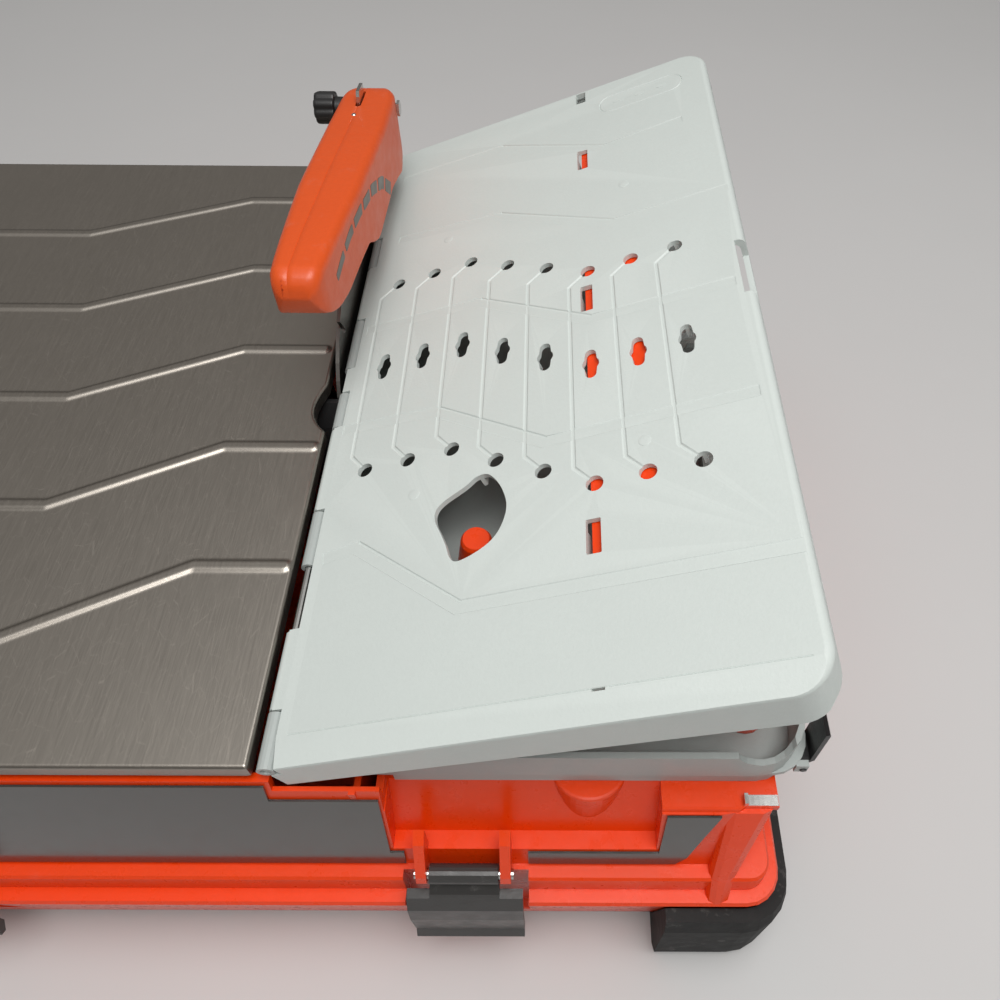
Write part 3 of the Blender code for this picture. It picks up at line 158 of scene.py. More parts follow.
def prism(bm, outline, axis, low, high):
    """An outline extruded along an axis."""
    loft(bm, [[spot(axis, a, b, end) for a, b in outline] for end in (low, high)])


def block(bm, x, y, z):
    prism(bm, box_outline(x, y), "Z", *z)


def bar(bm, axis, centre, radius, low, high, steps=32):
    prism(bm, circle(*centre, radius, steps), axis, low, high)


def lathe(bm, axis, centre, profile, steps=40):
    """A closed (radius, along) profile turned about an axis."""
    rings = []
    for i in range(steps):
        a = TAU * i / steps
        rings.append([spot(axis, centre[0] + r * math.cos(a), centre[1] + r * math.sin(a), along)
                      for r, along in profile])
    loft(bm, rings, joined=True)


def ribbon(bm, path, profile, z=0.0):
    """A closed (across, up) profile swept along a path of (x, y) points, mitred at its bends."""
    points = [Vector(p) for p in path]
    rings = []
    for i, p in enumerate(points):
        before = (p - points[i - 1]).normalized() if i else (points[1] - p).normalized()
        after = (points[i + 1] - p).normalized() if i + 1 < len(points) else before
        normal = Vector((-before.y - after.y, before.x + after.x))
        normal.normalize()
        stretch = 1 / max(0.35, normal.dot(Vector((-before.y, before.x))))
        rings.append([(p.x + normal.x * a * stretch, p.y + normal.y * a * stretch, z + up)
                      for a, up in profile])
    loft(bm, rings)


def mesh_from(name, builder):
    bm = bmesh.new()
    builder(bm)
    bmesh.ops.recalc_face_normals(bm, faces=bm.faces[:])
    mesh = bpy.data.meshes.new(name)
    bm.to_mesh(mesh)
    bm.free()
    return mesh


def solid(name, builder):
    obj = bpy.data.objects.new(name, mesh_from(name, builder))
    bpy.context.scene.collection.objects.link(obj)
    return obj


def combine(name, base, *steps):
    """A plain mesh object: the base builder, then ("+" or "-", builder) steps as exact Booleans."""
    obj = solid(name, base)
    tools = []
    for i, (sign, builder) in enumerate(steps):
        tool = solid(f"{name}_tool_{i}", builder)
        tools.append(tool)
        modifier = obj.modifiers.new(f"step_{i}", "BOOLEAN")
        modifier.solver = "EXACT"
        modifier.operation = "UNION" if sign == "+" else "DIFFERENCE"
        modifier.use_self = True
        modifier.object = tool
    settle(obj)
    for tool in tools:
        bpy.data.objects.remove(tool, do_unlink=True)
    return obj


def settle(obj):
    """Applies the object's modifiers to its mesh."""
    bpy.context.view_layer.update()
    evaluated = obj.evaluated_get(bpy.context.evaluated_depsgraph_get())
    mesh = bpy.data.meshes.new_from_object(evaluated)
    obj.modifiers.clear()
    old = obj.data
    obj.data = mesh
    bpy.data.meshes.remove(old)
    return obj


def finish_piece(obj, material, body, replaces=(), matrix=SAW, bevel=0.0, segments=2,
                 angle=30, weld=True):
    """Places, rounds, shades and registers a piece."""
    mesh = obj.data
    mesh.transform(matrix)
    if weld:
        bm = bmesh.new()
        bm.from_mesh(mesh)
        bmesh.ops.remove_doubles(bm, verts=bm.verts, dist=WELD_DISTANCE)
        bm.to_mesh(mesh)
        bm.free()
    mesh.materials.clear()
    mesh.materials.append(material)
    mesh.shade_smooth()
    if bevel:
        modifier = obj.modifiers.new("edges", "BEVEL")
        modifier.width = bevel
        modifier.segments = segments
        modifier.limit_method = "ANGLE"
        modifier.angle_limit = math.radians(angle)
        modifier.miter_outer = "MITER_ARC"
        modifier.use_clamp_overlap = True
        normals = obj.modifiers.new("normals", "WEIGHTED_NORMAL")
        normals.keep_sharp = True
    else:
        mesh.set_sharp_from_angle(angle=math.radians(angle))
    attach(obj, body)
    if replaces:
        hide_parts(*replaces)
    return obj


# ---------------------------------------------------------------- materials
def linear(r, g, b):
    """sRGB 0-255 to linear."""
    out = []
    for c in (r, g, b):
        c /= 255
        out.append(c / 12.92 if c <= 0.04045 else ((c + 0.055) / 1.055) ** 2.4)
    return (*out, 1.0)


class Shader:
    """A Principled material with small helpers for its texture nodes."""

    def __init__(self, name, roughness=0.5, metallic=0.0, **inputs):
        self.material = bpy.data.materials.new(name)
        self.material.use_nodes = True
        self.tree = self.material.node_tree
        self.main = self.tree.nodes["Principled BSDF"]
        self.main.inputs["Roughness"].default_value = roughness
        self.main.inputs["Metallic"].default_value = metallic
        for key, value in inputs.items():
            self.main.inputs[key.replace("_", " ")].default_value = value
        self.coords = self.tree.nodes.new("ShaderNodeTexCoord").outputs["Object"]

    def feed(self, socket, value):
        """Links a socket's output to an input, or sets the input to a plain value."""
        if isinstance(value, bpy.types.NodeSocket):
            self.tree.links.new(value, socket)
        else:
            socket.default_value = value

    def node(self, kind, **inputs):
        made = self.tree.nodes.new(kind)
        for key, value in inputs.items():
            self.feed(made.inputs[key.replace("_", " ")], value)
        return made

    def stretched(self, scale):
        mapping = self.node("ShaderNodeMapping", Vector=self.coords)
        mapping.inputs["Scale"].default_value = scale
        return mapping.outputs["Vector"]

    def noise(self, scale, detail=3.0, rough=0.55, vector=None, distortion=0.0):
        made = self.node("ShaderNodeTexNoise", Vector=vector or self.coords, Scale=scale,
                         Detail=detail, Roughness=rough, Distortion=distortion)
        return made.outputs["Fac"]

    def remap(self, value, low, high, out_low, out_high):
        made = self.node("ShaderNodeMapRange", Value=value)
        for key, number in zip(("From Min", "From Max", "To Min", "To Max"),
                               (low, high, out_low, out_high)):
            made.inputs[key].default_value = number
        return made.outputs["Result"]

    def mix(self, factor, first, second, blend="MIX"):
        made = self.tree.nodes.new("ShaderNodeMix")
        made.data_type = "RGBA"
        made.blend_type = blend
        factor_input, colour_a, colour_b, result = 0, 6, 7, 2
        for index, value in ((factor_input, factor), (colour_a, first), (colour_b, second)):
            self.feed(made.inputs[index], value)
        return made.outputs[result]

    def math(self, operation, first, second=0.0):
        made = self.tree.nodes.new("ShaderNodeMath")
        made.operation = operation
        for socket, value in zip(made.inputs, (first, second)):
            self.feed(socket, value)
        return made.outputs[0]

    def bump(self, height, distance, strength=1.0, normal=None):
        made = self.node("ShaderNodeBump", Height=height, Strength=strength, Distance=distance)
        if normal:
            self.tree.links.new(normal, made.inputs["Normal"])
        return made.outputs["Normal"]

    def link(self, **sockets):
        for key, value in sockets.items():
            self.tree.links.new(value, self.main.inputs[key.replace("_", " ")])
        return self.material


def tinted(colour, factor):
    return (colour[0] * factor, colour[1] * factor, colour[2] * factor, 1.0)


def plastic(name, colour, roughness, grain=900.0, grain_depth=0.00006, variation=0.06, wear=0.12,
            dust=None, coat=0.0, specular=0.5):
    """Moulded plastic: fine grain, slight colour drift, paler rubbed edges and some dust."""
    s = Shader(name, roughness, Specular_IOR_Level=specular, Coat_Weight=coat, Coat_Roughness=0.12)
    drift = s.noise(14.0, 4.0, 0.6)
    base = s.mix(drift, tinted(colour, 1 - variation), tinted(colour, 1 + variation))
    fine = s.noise(420.0, 2.0)
    base = s.mix(s.remap(fine, 0.35, 0.65, 0.0, 0.5), base, tinted(colour, 1 - variation))
    geometry = s.tree.nodes.new("ShaderNodeNewGeometry")
    edge = s.remap(geometry.outputs["Pointiness"], 0.52, 0.60, 0.0, wear)
    pale = tuple(min(1.0, c * 1.3 + 0.08) for c in colour[:3]) + (1.0,)
    base = s.mix(edge, base, pale)
    if dust:
        speck = s.remap(s.noise(60.0, 8.0, 0.75), 0.58, 0.75, 0.0, dust)
        base = s.mix(speck, base, (0.55, 0.53, 0.50, 1.0))
    grain_noise = s.noise(grain, 2.0, 0.6)
    wave = s.noise(25.0, 2.0)
    rough = s.remap(s.noise(110.0, 4.0), 0.3, 0.7, max(0.03, roughness - 0.06), roughness + 0.07)
    normal = s.bump(grain_noise, grain_depth, 1.0, s.bump(wave, 0.00025, 0.3))
    return s.link(Base_Color=base, Roughness=rough, Normal=normal)


def metal(name, colour, roughness, direction=(60.0, 4.0, 60.0), streak=0.10, depth=0.00002,
          scratches=0.0):
    """Ground or rolled metal with streaks along one direction, and fine scratches if asked."""
    s = Shader(name, roughness, 1.0)
    streaks = s.noise(22.0, 6.0, 0.7, s.stretched(direction))
    cloud = s.noise(18.0, 5.0, 0.65)
    base = s.mix(streaks, tinted(colour, 1 - streak), tinted(colour, 1 + streak))
    base = s.mix(s.remap(cloud, 0.3, 0.7, 0.0, 0.5), base, tinted(colour, 1 - streak))
    rough = s.remap(streaks, 0.3, 0.7, max(0.05, roughness - 0.08), roughness + 0.09)
    if scratches:
        lines = s.node("ShaderNodeTexVoronoi", Vector=s.stretched((9.0, 3.0, 9.0)), Scale=28.0)
        lines.feature = "DISTANCE_TO_EDGE"
        thin = s.remap(lines.outputs["Distance"], 0.0, 0.015, scratches, 0.0)
        rough = s.math("ADD", rough, thin)
    return s.link(Base_Color=base, Roughness=rough, Normal=s.bump(streaks, depth, 0.6))


M = {
    "lid": plastic("lid_grey_plastic", linear(206, 214, 211), 0.48, 700.0, 0.00009, 0.03, 0.10),
    "tray": plastic("tray_grey_plastic", linear(170, 177, 175), 0.50, 700.0, 0.00009, 0.04, 0.10,
                    dust=0.2),
    "guard": plastic("guard_orange_plastic", linear(222, 84, 24), 0.40, 600.0, 0.00008, 0.07, 0.14,
                     dust=0.10),
    "body": plastic("body_orange_plastic", linear(236, 64, 3), 0.30, 500.0, 0.00004, 0.05, 0.06,
                    dust=0.04, coat=0.05, specular=0.35),
    "trim": plastic("trim_grey_gloss", linear(54, 54, 52), 0.20, 400.0, 0.00001, 0.04, 0.05,
                    coat=0.5),
    "mark": plastic("mark_grey_print", linear(96, 92, 86), 0.35, 500.0, 0.00003, 0.05, 0.0),
    "latch": plastic("latch_dark_plastic", linear(46, 45, 44), 0.36, 600.0, 0.00007, 0.05, 0.16,
                     dust=0.15),
    "black": plastic("black_moulded_plastic", linear(32, 32, 33), 0.42, 700.0, 0.00008, 0.06, 0.12,
                     dust=0.08),
    "rubber": plastic("black_rubber_compound", linear(28, 28, 28), 0.75, 350.0, 0.0002, 0.08, 0.10,
                      dust=0.25, specular=0.3),
    "table": metal("table_stainless", linear(160, 154, 146), 0.36, (90.0, 2.0, 90.0), 0.09,
                   0.00001, 0.15),
    "steel": metal("bright_plated_steel", linear(205, 205, 202), 0.22, (40.0, 6.0, 40.0), 0.06),
    "blade": metal("ground_blade_steel", linear(140, 138, 134), 0.34, (30.0, 30.0, 30.0), 0.15,
                   0.00004),
    "cast": metal("cast_aluminium_skin", linear(150, 152, 154), 0.5, (8.0, 8.0, 8.0), 0.10, 0.0002),
    "copper": metal("varnished_copper", linear(184, 110, 62), 0.35, (90.0, 5.0, 90.0), 0.2, 0.0001),
}


# ---------------------------------------------------------------- camera, light and floor
CAMERA_PLACE = Vector((0.1297, -0.1213, 0.3670))      # in the saw's frame
CAMERA_PITCH, CAMERA_ROLL, CAMERA_YAW = 50.37, -0.66, 0.41
CAMERA_SENSOR, CAMERA_LENS, CAMERA_SHIFT = 36.0, 30.63, (-0.058, -0.062)


def make_camera():
    """The photograph's viewpoint."""
    pitch, roll, yaw = (math.radians(a) for a in (CAMERA_PITCH, CAMERA_ROLL, CAMERA_YAW))
    forward = Vector((math.sin(yaw) * math.cos(pitch), math.cos(yaw) * math.cos(pitch),
                      -math.sin(pitch)))
    level = Vector((math.cos(yaw), -math.sin(yaw), 0.0))
    down = forward.cross(level)
    right = math.cos(roll) * level + math.sin(roll) * down
    down = -math.sin(roll) * level + math.cos(roll) * down
    data = bpy.data.cameras.new("view")
    data.sensor_width, data.lens = CAMERA_SENSOR, CAMERA_LENS
    data.shift_x, data.shift_y = CAMERA_SHIFT
    data.clip_start = 0.01
    camera = bpy.data.objects.new("view", data)
    bpy.context.scene.collection.objects.link(camera)
    matrix = Matrix((right, -down, -forward)).transposed().to_4x4()
    matrix.translation = SAW.translation + CAMERA_PLACE
    camera.matrix_world = matrix
    bpy.context.scene.camera = camera


def area_light(name, place, target, size, power, colour=(1, 1, 1)):
    data = bpy.data.lights.new(name, "AREA")
    data.shape = "RECTANGLE"
    data.size, data.size_y = size
    data.energy = power
    data.color = colour
    light = bpy.data.objects.new(name, data)
    bpy.context.scene.collection.objects.link(light)
    light.location = place
    light.rotation_euler = (Vector(target) - Vector(place)).to_track_quat("-Z", "Y").to_euler()


def make_studio():
    """A dim room that brightens overhead, one broad soft light above, and a pale floor."""
    world = bpy.data.worlds.new("studio")
    world.use_nodes = True
    nodes, links = world.node_tree.nodes, world.node_tree.links
    direction = nodes.new("ShaderNodeTexCoord").outputs["Generated"]
    split = nodes.new("ShaderNodeSeparateXYZ")
    links.new(direction, split.inputs[0])
    ramp = nodes.new("ShaderNodeValToRGB")
    elements = ramp.color_ramp.elements
    for place, colour in ((0.15, (0.16, 0.155, 0.15, 1)), (0.45, (0.37, 0.355, 0.34, 1)),
                          (0.75, (0.42, 0.405, 0.39, 1))):
        elements.new(place).color = colour
    elements[0].color = (0.12, 0.115, 0.11, 1)
    elements[-1].color = (1.0, 1.0, 1.0, 1)
    links.new(split.outputs["Z"], ramp.inputs["Fac"])
    links.new(ramp.outputs["Color"], nodes["Background"].inputs["Color"])
    nodes["Background"].inputs["Strength"].default_value = 0.75
    bpy.context.scene.world = world
    bpy.context.scene.view_settings.view_transform = "Standard"
    area_light("overhead", (0.35, -0.42, 1.75), (0.05, -0.10, 0.15), (1.0, 0.9), 21,
               (1.0, 0.985, 0.965))
    area_light("front_fill", (0.9, -1.5, 1.0), (0.05, 0.0, 0.1), (0.8, 0.6), 0.6)
    floor = solid("studio_floor", lambda bm: block(bm, (-25, 25), (-25, 25), (-0.02, 0.0)))
    s = Shader("pale_floor", 0.8)
    floor.data.materials.append(s.link(
        Base_Color=s.mix(s.noise(3.0, 4.0), (0.58, 0.58, 0.58, 1), (0.62, 0.62, 0.62, 1))))


make_camera()
make_studio()

# ---------------------------------------------------------------- lid
HOLE_RADIUS, HOLE_PITCH, FIRST_HOLE_X = 0.0043, 0.0254, 0.0329
COLUMN_X = [FIRST_HOLE_X + HOLE_PITCH * i for i in range(8)]
THROUGH = (-0.012, 0.004)     # from below the lid's skin to above it
FRONT_HOLE_Y = (0.1524, 0.1524, 0.1524, 0.1384, 0.1246, 0.1108, 0.1108, 0.1108)
PEG_SPACING, KEY_OFFSET = 0.1502, 0.0765
GROOVE = [(-0.0014, 0.002), (-0.0013, 0.0), (-0.0005, -0.0006), (0.0005, -0.0006), (0.0013, 0.0),
          (0.0014, 0.002)]
SHADOW_GROOVE = [(-0.0011, 0.002), (-0.0010, 0.0), (-0.0004, -0.0007), (0.0004, -0.0007),
                 (0.0010, 0.0), (0.0011, 0.002)]
FOLD_GROOVE = [(-0.0005, 0.002), (-0.0004, 0.0), (0.0, -0.0004), (0.0004, 0.0), (0.0005, 0.002)]
PLATE_GROOVE = [(-0.0006, 0.002), (-0.0005, 0.0), (0.0, -0.00045), (0.0005, 0.0), (0.0006, 0.002)]
BAND = [(-0.0038, 0.002), (-0.0036, 0.0), (-0.0031, -0.00035), (0.0031, -0.00035), (0.0036, 0.0),
        (0.0038, 0.002)]
# Each chevron: the points of its band, in x and y.
CHEVRONS = (
    ((0.0204, 0.425), (0.0974, 0.423), (0.1724, 0.381), (0.2264, 0.384)),
    ((0.0264, 0.351), (0.1004, 0.342), (0.1754, 0.299), (0.2454, 0.299)),
    ((0.0154, 0.266), (0.0914, 0.262), (0.1594, 0.221), (0.2394, 0.220)),
    ((0.0134, 0.186), (0.0714, 0.182), (0.1344, 0.1425), (0.2404, 0.1428)),
    ((0.0174, 0.101), (0.0354, 0.104), (0.0944, 0.060), (0.2464, 0.059)),
)
LEAF = smooth_closed([(0.1055, 0.1305), (0.1121, 0.1224), (0.1161, 0.1107), (0.1147, 0.1004),
                      (0.1098, 0.0920), (0.1014, 0.0865), (0.0925, 0.0838), (0.0885, 0.0868),
                      (0.0858, 0.0940), (0.0826, 0.1010), (0.0790, 0.1085), (0.0784, 0.1145),
                      (0.0820, 0.1195), (0.0933, 0.1260), (0.0990, 0.1303)], 4)
WINDOWS = ((0.0736, 0.0916), (0.2282, 0.2487), (0.3641, 0.3854), (0.4459, 0.4589))
LID_NOTCHES = ((-0.001, 0.0256), (0.0646, 0.1329), (0.1894, 0.2166), (0.2354, 0.2786),
               (0.3294, 0.3606), (0.4379, 0.470))
EJECTOR_MARKS = ((0.0649, 0.1285), (0.0649, 0.3340), (0.1849, 0.1290), (0.1849, 0.3335))
LID_KNUCKLES = ((0.0262, 0.0638), (0.1337, 0.1883), (0.2802, 0.3278), (0.3622, 0.4368))
KNUCKLE_RADIUS, ROD_HOLE_RADIUS = 0.0039, 0.0023
LID_EDGE_ROLL, LID_CORNER = 0.0042, 0.018
LID_RIB_ALONG_X, LID_RIB_ALONG_Y = (0.040, 0.200, 0.340, 0.430), (0.0450, 0.1000, 0.2100)
LID_RIB_WALL, LID_RIB_DEPTH = 0.0018, (-0.0085, -LID_SKIN + 0.0005)
PLATE_TICK_X = (0.186, 0.2013, 0.2166)


def key_slot(x, y):
    """The outline of a slot for the fence's key: wider in its middle."""
    half, end, middle = 0.0030, 0.0070, 0.0046
    points = arc(x, y + end, half, 5, 175, 8) + arc(x, y, middle, 138, 222, 5)
    return points + arc(x, y - end, half, 185, 355, 8) + arc(x, y, middle, -42, 42, 5)


def lid_ring(inset, z):
    """The lid's plan, drawn in by inset, at a height. Its hinge side stays straight."""
    x, y = (0.0071, LID_RIGHT - inset), (inset, LID_LENGTH - inset)
    radius = max(LID_CORNER - inset, 0.002)
    points = ([(x[0], y[0])] + arc(x[1] - radius, y[0] + radius, radius, 270, 360, 10)
              + arc(x[1] - radius, y[1] - radius, radius, 0, 90, 10) + [(x[0], y[1])])
    return [(a, b, z) for a, b in points]


def lip_foot(x, y):
    """The lower edge of the lid's down-turned edge: the front one deepens away from the hinge."""
    front = interpolate(((0.0135, 0.0210), (0.0600, 0.0260), (0.0950, 0.0285)), x)
    return -(front + (LID_LIP - front) * ease((y - 0.0030) / 0.0035))


def make_lid():
    """The closed lid: a thin shell with its grooves, holes, ribs, knuckles and clips."""
    roll = LID_EDGE_ROLL

    def ring(inset, z):
        return [(x, y, lip_foot(x, y) if z <= -LID_LIP else z) for x, y, z in lid_ring(inset, z)]

    def shell(bm):
        outer = [(0.0, -LID_LIP), (0.0, -roll)]
        outer += [(roll * (1 - math.cos(a)), -roll * (1 - math.sin(a)))
                  for a in (math.radians(12 * k) for k in range(1, 8))]
        inner = [(roll + 0.0010, -LID_SKIN), (LID_SKIN + 0.0002, -roll - 0.0015),
                 (LID_SKIN, -LID_LIP)]
        loops = loft(bm, [ring(i, z) for i, z in outer], caps=False)
        bm.faces.new(loops[-1])
        lower = loft(bm, [ring(i, z) for i, z in inner[::-1]], caps=False)
        bm.faces.new(lower[-1][::-1])
        rim, under = loops[0], lower[0]
        for i in range(len(rim)):
            j = (i + 1) % len(rim)
            bm.faces.new((rim[j], rim[i], under[i], under[j]))

    def front_slope(bm):
        """The strip in front of the fold falls away a little."""
        outline = [(-0.01, 0.004), (-0.01, -0.0034), (0.0, -0.0026), (0.0130, 0.0), (0.0130, 0.004)]
        prism(bm, outline, "X", 0.0, 0.26)

    def columns(bm):
        for x, y in zip(COLUMN_X, FRONT_HOLE_Y):
            back = y + PEG_SPACING
            path = [(x, back), (x - 0.0115, back - 0.0100), (x - 0.0100, y + 0.0115), (x, y)]
            ribbon(bm, path, GROOVE)

    def bands(bm):
        for chevron in CHEVRONS:
            ribbon(bm, chevron, BAND)

    def shadows(bm):
        for chevron in CHEVRONS:
            a, b = Vector(chevron[1]), Vector(chevron[2])
            side = (b - a).normalized()
            side = Vector((-side.y, side.x)) * 0.0030
            ribbon(bm, [tuple(a + side), tuple(b + side)], SHADOW_GROOVE)
        ribbon(bm, [(0.018, 0.0134), (0.240, 0.0134)], FOLD_GROOVE)
        plate = rounded(box_outline((0.1724, 0.2304), (0.4225, 0.4420)), 0.0088, 8)
        ribbon(bm, plate + plate[:2], PLATE_GROOVE)

    def holes(bm):
        for x, y in zip(COLUMN_X, FRONT_HOLE_Y):
            for centre in ((x, y), (x, y + PEG_SPACING)):
                prism(bm, circle(*centre, HOLE_RADIUS, 28), "Z", *THROUGH)
            prism(bm, key_slot(x, y + KEY_OFFSET), "Z", *THROUGH)
        prism(bm, LEAF, "Z", *THROUGH)
        for low, high in WINDOWS:
            window = rounded(box_outline((0.1552, 0.1622), (low, high)), 0.0006, 3)
            prism(bm, window, "Z", *THROUGH)
        prism(bm, box_outline((0.1560, 0.1615), (0.0122, 0.0134)), "Z", *THROUGH)
        block(bm, (0.2425, 0.26), (0.2094, 0.2509), (-0.0125, 0.01))

    def notches(bm):
        for low, high in LID_NOTCHES:
            block(bm, (0.0, 0.0123), (low, high), (-0.0088, 0.02))
            block(bm, (0.0, 0.0123), (max(low, LID_SKIN), high), (-0.05, 0.0))
        block(bm, (0.0, 0.0190), (LID_SKIN, 0.48), (-0.05, -0.0085))
        block(bm, (0.0, 0.0102), (LID_SKIN, 0.48), (-0.05, -LID_SKIN))

    def knuckles(bm):
        for low, high in LID_KNUCKLES:
            bar(bm, "Y", (HINGE.x, HINGE.z), KNUCKLE_RADIUS, low, high, 24)

    def bore(bm):
        bar(bm, "Y", (HINGE.x, HINGE.z), ROD_HOLE_RADIUS, -0.01, 0.48, 20)

    def ribs(bm):
        for y in LID_RIB_ALONG_X:
            block(bm, (0.020, 0.2280), (y, y + LID_RIB_WALL), LID_RIB_DEPTH)
        for x in LID_RIB_ALONG_Y:
            block(bm, (x, x + LID_RIB_WALL), (0.0125, 0.4500), LID_RIB_DEPTH)

    def clips(bm):
        outline = [(0.1520, -0.002), (0.1545, -0.002), (0.1545, -0.0205), (0.1590, -0.0205),
                   (0.1590, -0.0225), (0.1520, -0.0225)]
        for low, high in WINDOWS[:3]:
            prism(bm, outline, "Y", low + 0.003, high - 0.003)

    lid = combine("side_table_lid", shell, ("-", front_slope), ("+", ribs), ("-", bands),
                  ("-", columns), ("-", shadows), ("-", holes), ("-", notches), ("+", knuckles),
                  ("+", clips), ("-", bore))
    finish_piece(lid, M["lid"], "lid", ["lid_panel"], LID, 0.00035, 2, 28)
    dome = [(0.0001, -0.0002), (0.0032, -0.0002), (0.0031, 0.0001), (0.0027, 0.0002),
            (0.0001, 0.0001)]
    for i, centre in enumerate(EJECTOR_MARKS):
        dot = solid(f"lid_ejector_mark_{i + 1}", lambda bm: lathe(bm, "Z", centre, dome, 28))
        finish_piece(dot, M["lid"], "lid", (), LID)
    for i, x in enumerate(PLATE_TICK_X):
        outline = rounded(box_outline((x - 0.0035, x + 0.0035), (0.4310, 0.4335)), 0.0012, 4)
        tick = solid(f"lid_plate_mark_{i + 1}",
                     lambda bm: prism(bm, outline, "Z", -0.0002, 0.00015))
        finish_piece(tick, M["lid"], "lid", (), LID)


make_lid()

# ---------------------------------------------------------------- stainless table
TABLE_LEFT, TABLE_LENGTH, SHEET = -0.330, 0.450, 0.0015
RIB_KINK_X = (-0.0490, -0.0525, -0.0595, -0.0718, -0.0897)
RIB_SLOPE = (0.49, 0.478, 0.429, 0.402, 0.387)
RIB_Y = [0.099 + 0.0764 * n for n in range(5)]
RIB_STEP, RIB_HALF, RIB_SHOULDER, RIB_RISE = 0.040, 0.0040, 0.0022, 0.0011
TABLE_CORNER = 0.010
NOTCH_START, NOTCH_LENGTH, NOTCH_DEPTH = 0.187, 0.036, 0.0068
RIGHT_EDGE, DRAWN_BACK = 0.0005, 0.0045


def rib_lines():
    """Each pressed rib's path from right to left: level, a slope forward, level again."""
    for n, y in enumerate(RIB_Y):
        kink, run = RIB_KINK_X[n], RIB_STEP / RIB_SLOPE[n]
        right = -0.0040 if n < 2 else -0.0105
        yield [(right, y), (kink, y), (kink - run, y - RIB_STEP), (-0.316, y - RIB_STEP)]


RIB_LINES = list(rib_lines())


def distance_to(line, x, y):
    """How far a point is from a path of straight pieces."""
    best = 1.0
    for (ax, ay), (bx, by) in zip(line, line[1:]):
        dx, dy = bx - ax, by - ay
        t = max(0.0, min(1.0, ((x - ax) * dx + (y - ay) * dy) / (dx * dx + dy * dy)))
        best = min(best, math.hypot(x - ax - t * dx, y - ay - t * dy))
    return best


def rib_height(x, y):
    """Pressed ribs: a low flat crown with rounded shoulders."""
    shift = RIB_STEP / 2 if x < -0.1 else 0.0
    n = min(range(5), key=lambda k: abs(RIB_Y[k] - shift - y))
    nearest = min(distance_to(RIB_LINES[k], x, y) for k in {max(0, n - 1), n, min(4, n + 1)})
    return RIB_RISE * ease((RIB_HALF - nearest) / RIB_SHOULDER)


def table_right(y):
    """The right edge: straight, then a finger notch, then drawn back along the blade."""
    if y <= NOTCH_START:
        return RIGHT_EDGE
    share = min(1.0, (y - NOTCH_START) / NOTCH_LENGTH)
    dip = math.sin(math.pi * share ** 0.8) if share < 1 else 0.0
    return RIGHT_EDGE - DRAWN_BACK * share - NOTCH_DEPTH * dip


def table_left(y):
    """The left edge: straight between two round corners."""
    near = min(y, TABLE_LENGTH - y)
    if near >= TABLE_CORNER:
        return TABLE_LEFT
    across = math.sqrt(max(0.0, TABLE_CORNER ** 2 - (TABLE_CORNER - near) ** 2))
    return TABLE_LEFT + TABLE_CORNER - across


def make_table():
    """The pressed sheet as a fine grid of heights, with its edges rolled down and a closed back."""
    step = 0.0009
    rolls = [(0.0, 0.0), (0.0003, -0.0003), (0.0007, -0.0006), (0.0010, -0.0011), (0.0011, -0.0018),
             (0.0011, -0.0085)]
    inset = rolls[-1][0]
    rows = []
    y = inset
    while y < TABLE_LENGTH - inset - 1e-5:
        rows.append(y)
        y += step
    rows.append(TABLE_LENGTH - inset)
    columns = round(-TABLE_LEFT / step)

    def builder(bm):
        grid = []
        for y in rows:
            left, right = table_left(y) + inset, table_right(y) - inset
            line = []
            for i in range(columns + 1):
                x = left + (right - left) * i / columns
                line.append(bm.verts.new((x, y, rib_height(x, y))))
            grid.append(line)
        for low, high in zip(grid, grid[1:]):
            for i in range(columns):
                bm.faces.new((low[i], low[i + 1], high[i + 1], high[i]))
        edge = grid[0] + [line[-1] for line in grid[1:]] + grid[-1][-2::-1]
        edge += [line[0] for line in grid[-2:0:-1]]
        count = len(edge)
        outward = []
        for i in range(count):
            along = edge[(i + 1) % count].co - edge[i - 1].co
            outward.append(Vector((along.y, -along.x, 0)).normalized())
        previous = edge
        starts = [v.co.copy() for v in edge]
        for reach, drop in rolls[1:] + [(inset - SHEET, -0.0085), (inset - SHEET, -0.003)]:
            ring = [bm.verts.new((p.x + n.x * reach, p.y + n.y * reach, min(p.z, 0.0) + drop))
                    for p, n in zip(starts, outward)]
            for i in range(count):
                j = (i + 1) % count
                bm.faces.new((previous[j], previous[i], ring[i], ring[j]))
            previous = ring
        low = [bm.verts.new((v.co.x, v.co.y, -SHEET)) for v in previous]
        for i in range(count):
            j = (i + 1) % count
            bm.faces.new((previous[j], previous[i], low[i], low[j]))
        bm.faces.new(low[::-1])

    table = solid("ribbed_table", builder)
    finish_piece(table, M["table"], "base", ["table_top"], angle=60, weld=False)


make_table()

# ---------------------------------------------------------------- blade guard
GUARD_SHIFT = 0.003            # the guard's middle is right of the blade
GUARD_WALL = 0.0028
GUARD_FRONT, NOSE_LENGTH, NOSE_END = 0.1957, 0.014, 0.2097
TAIL_START, TAIL_LENGTH = 0.4190, 0.0205
HOLLOW_FRONT, HOLLOW_BACK = 0.2100, 0.4350
PIVOT_HOLE_RADIUS = 0.0038
ARC_DASHES = 7
KNOB_LOBES, LOBE_DEPTH, LOBED_RADIUS = 8, 0.0013, 0.0080
RIVET_PLACE = (0.0, 0.3860)
KNIFE_ROOM = (-0.0019, 0.0019)
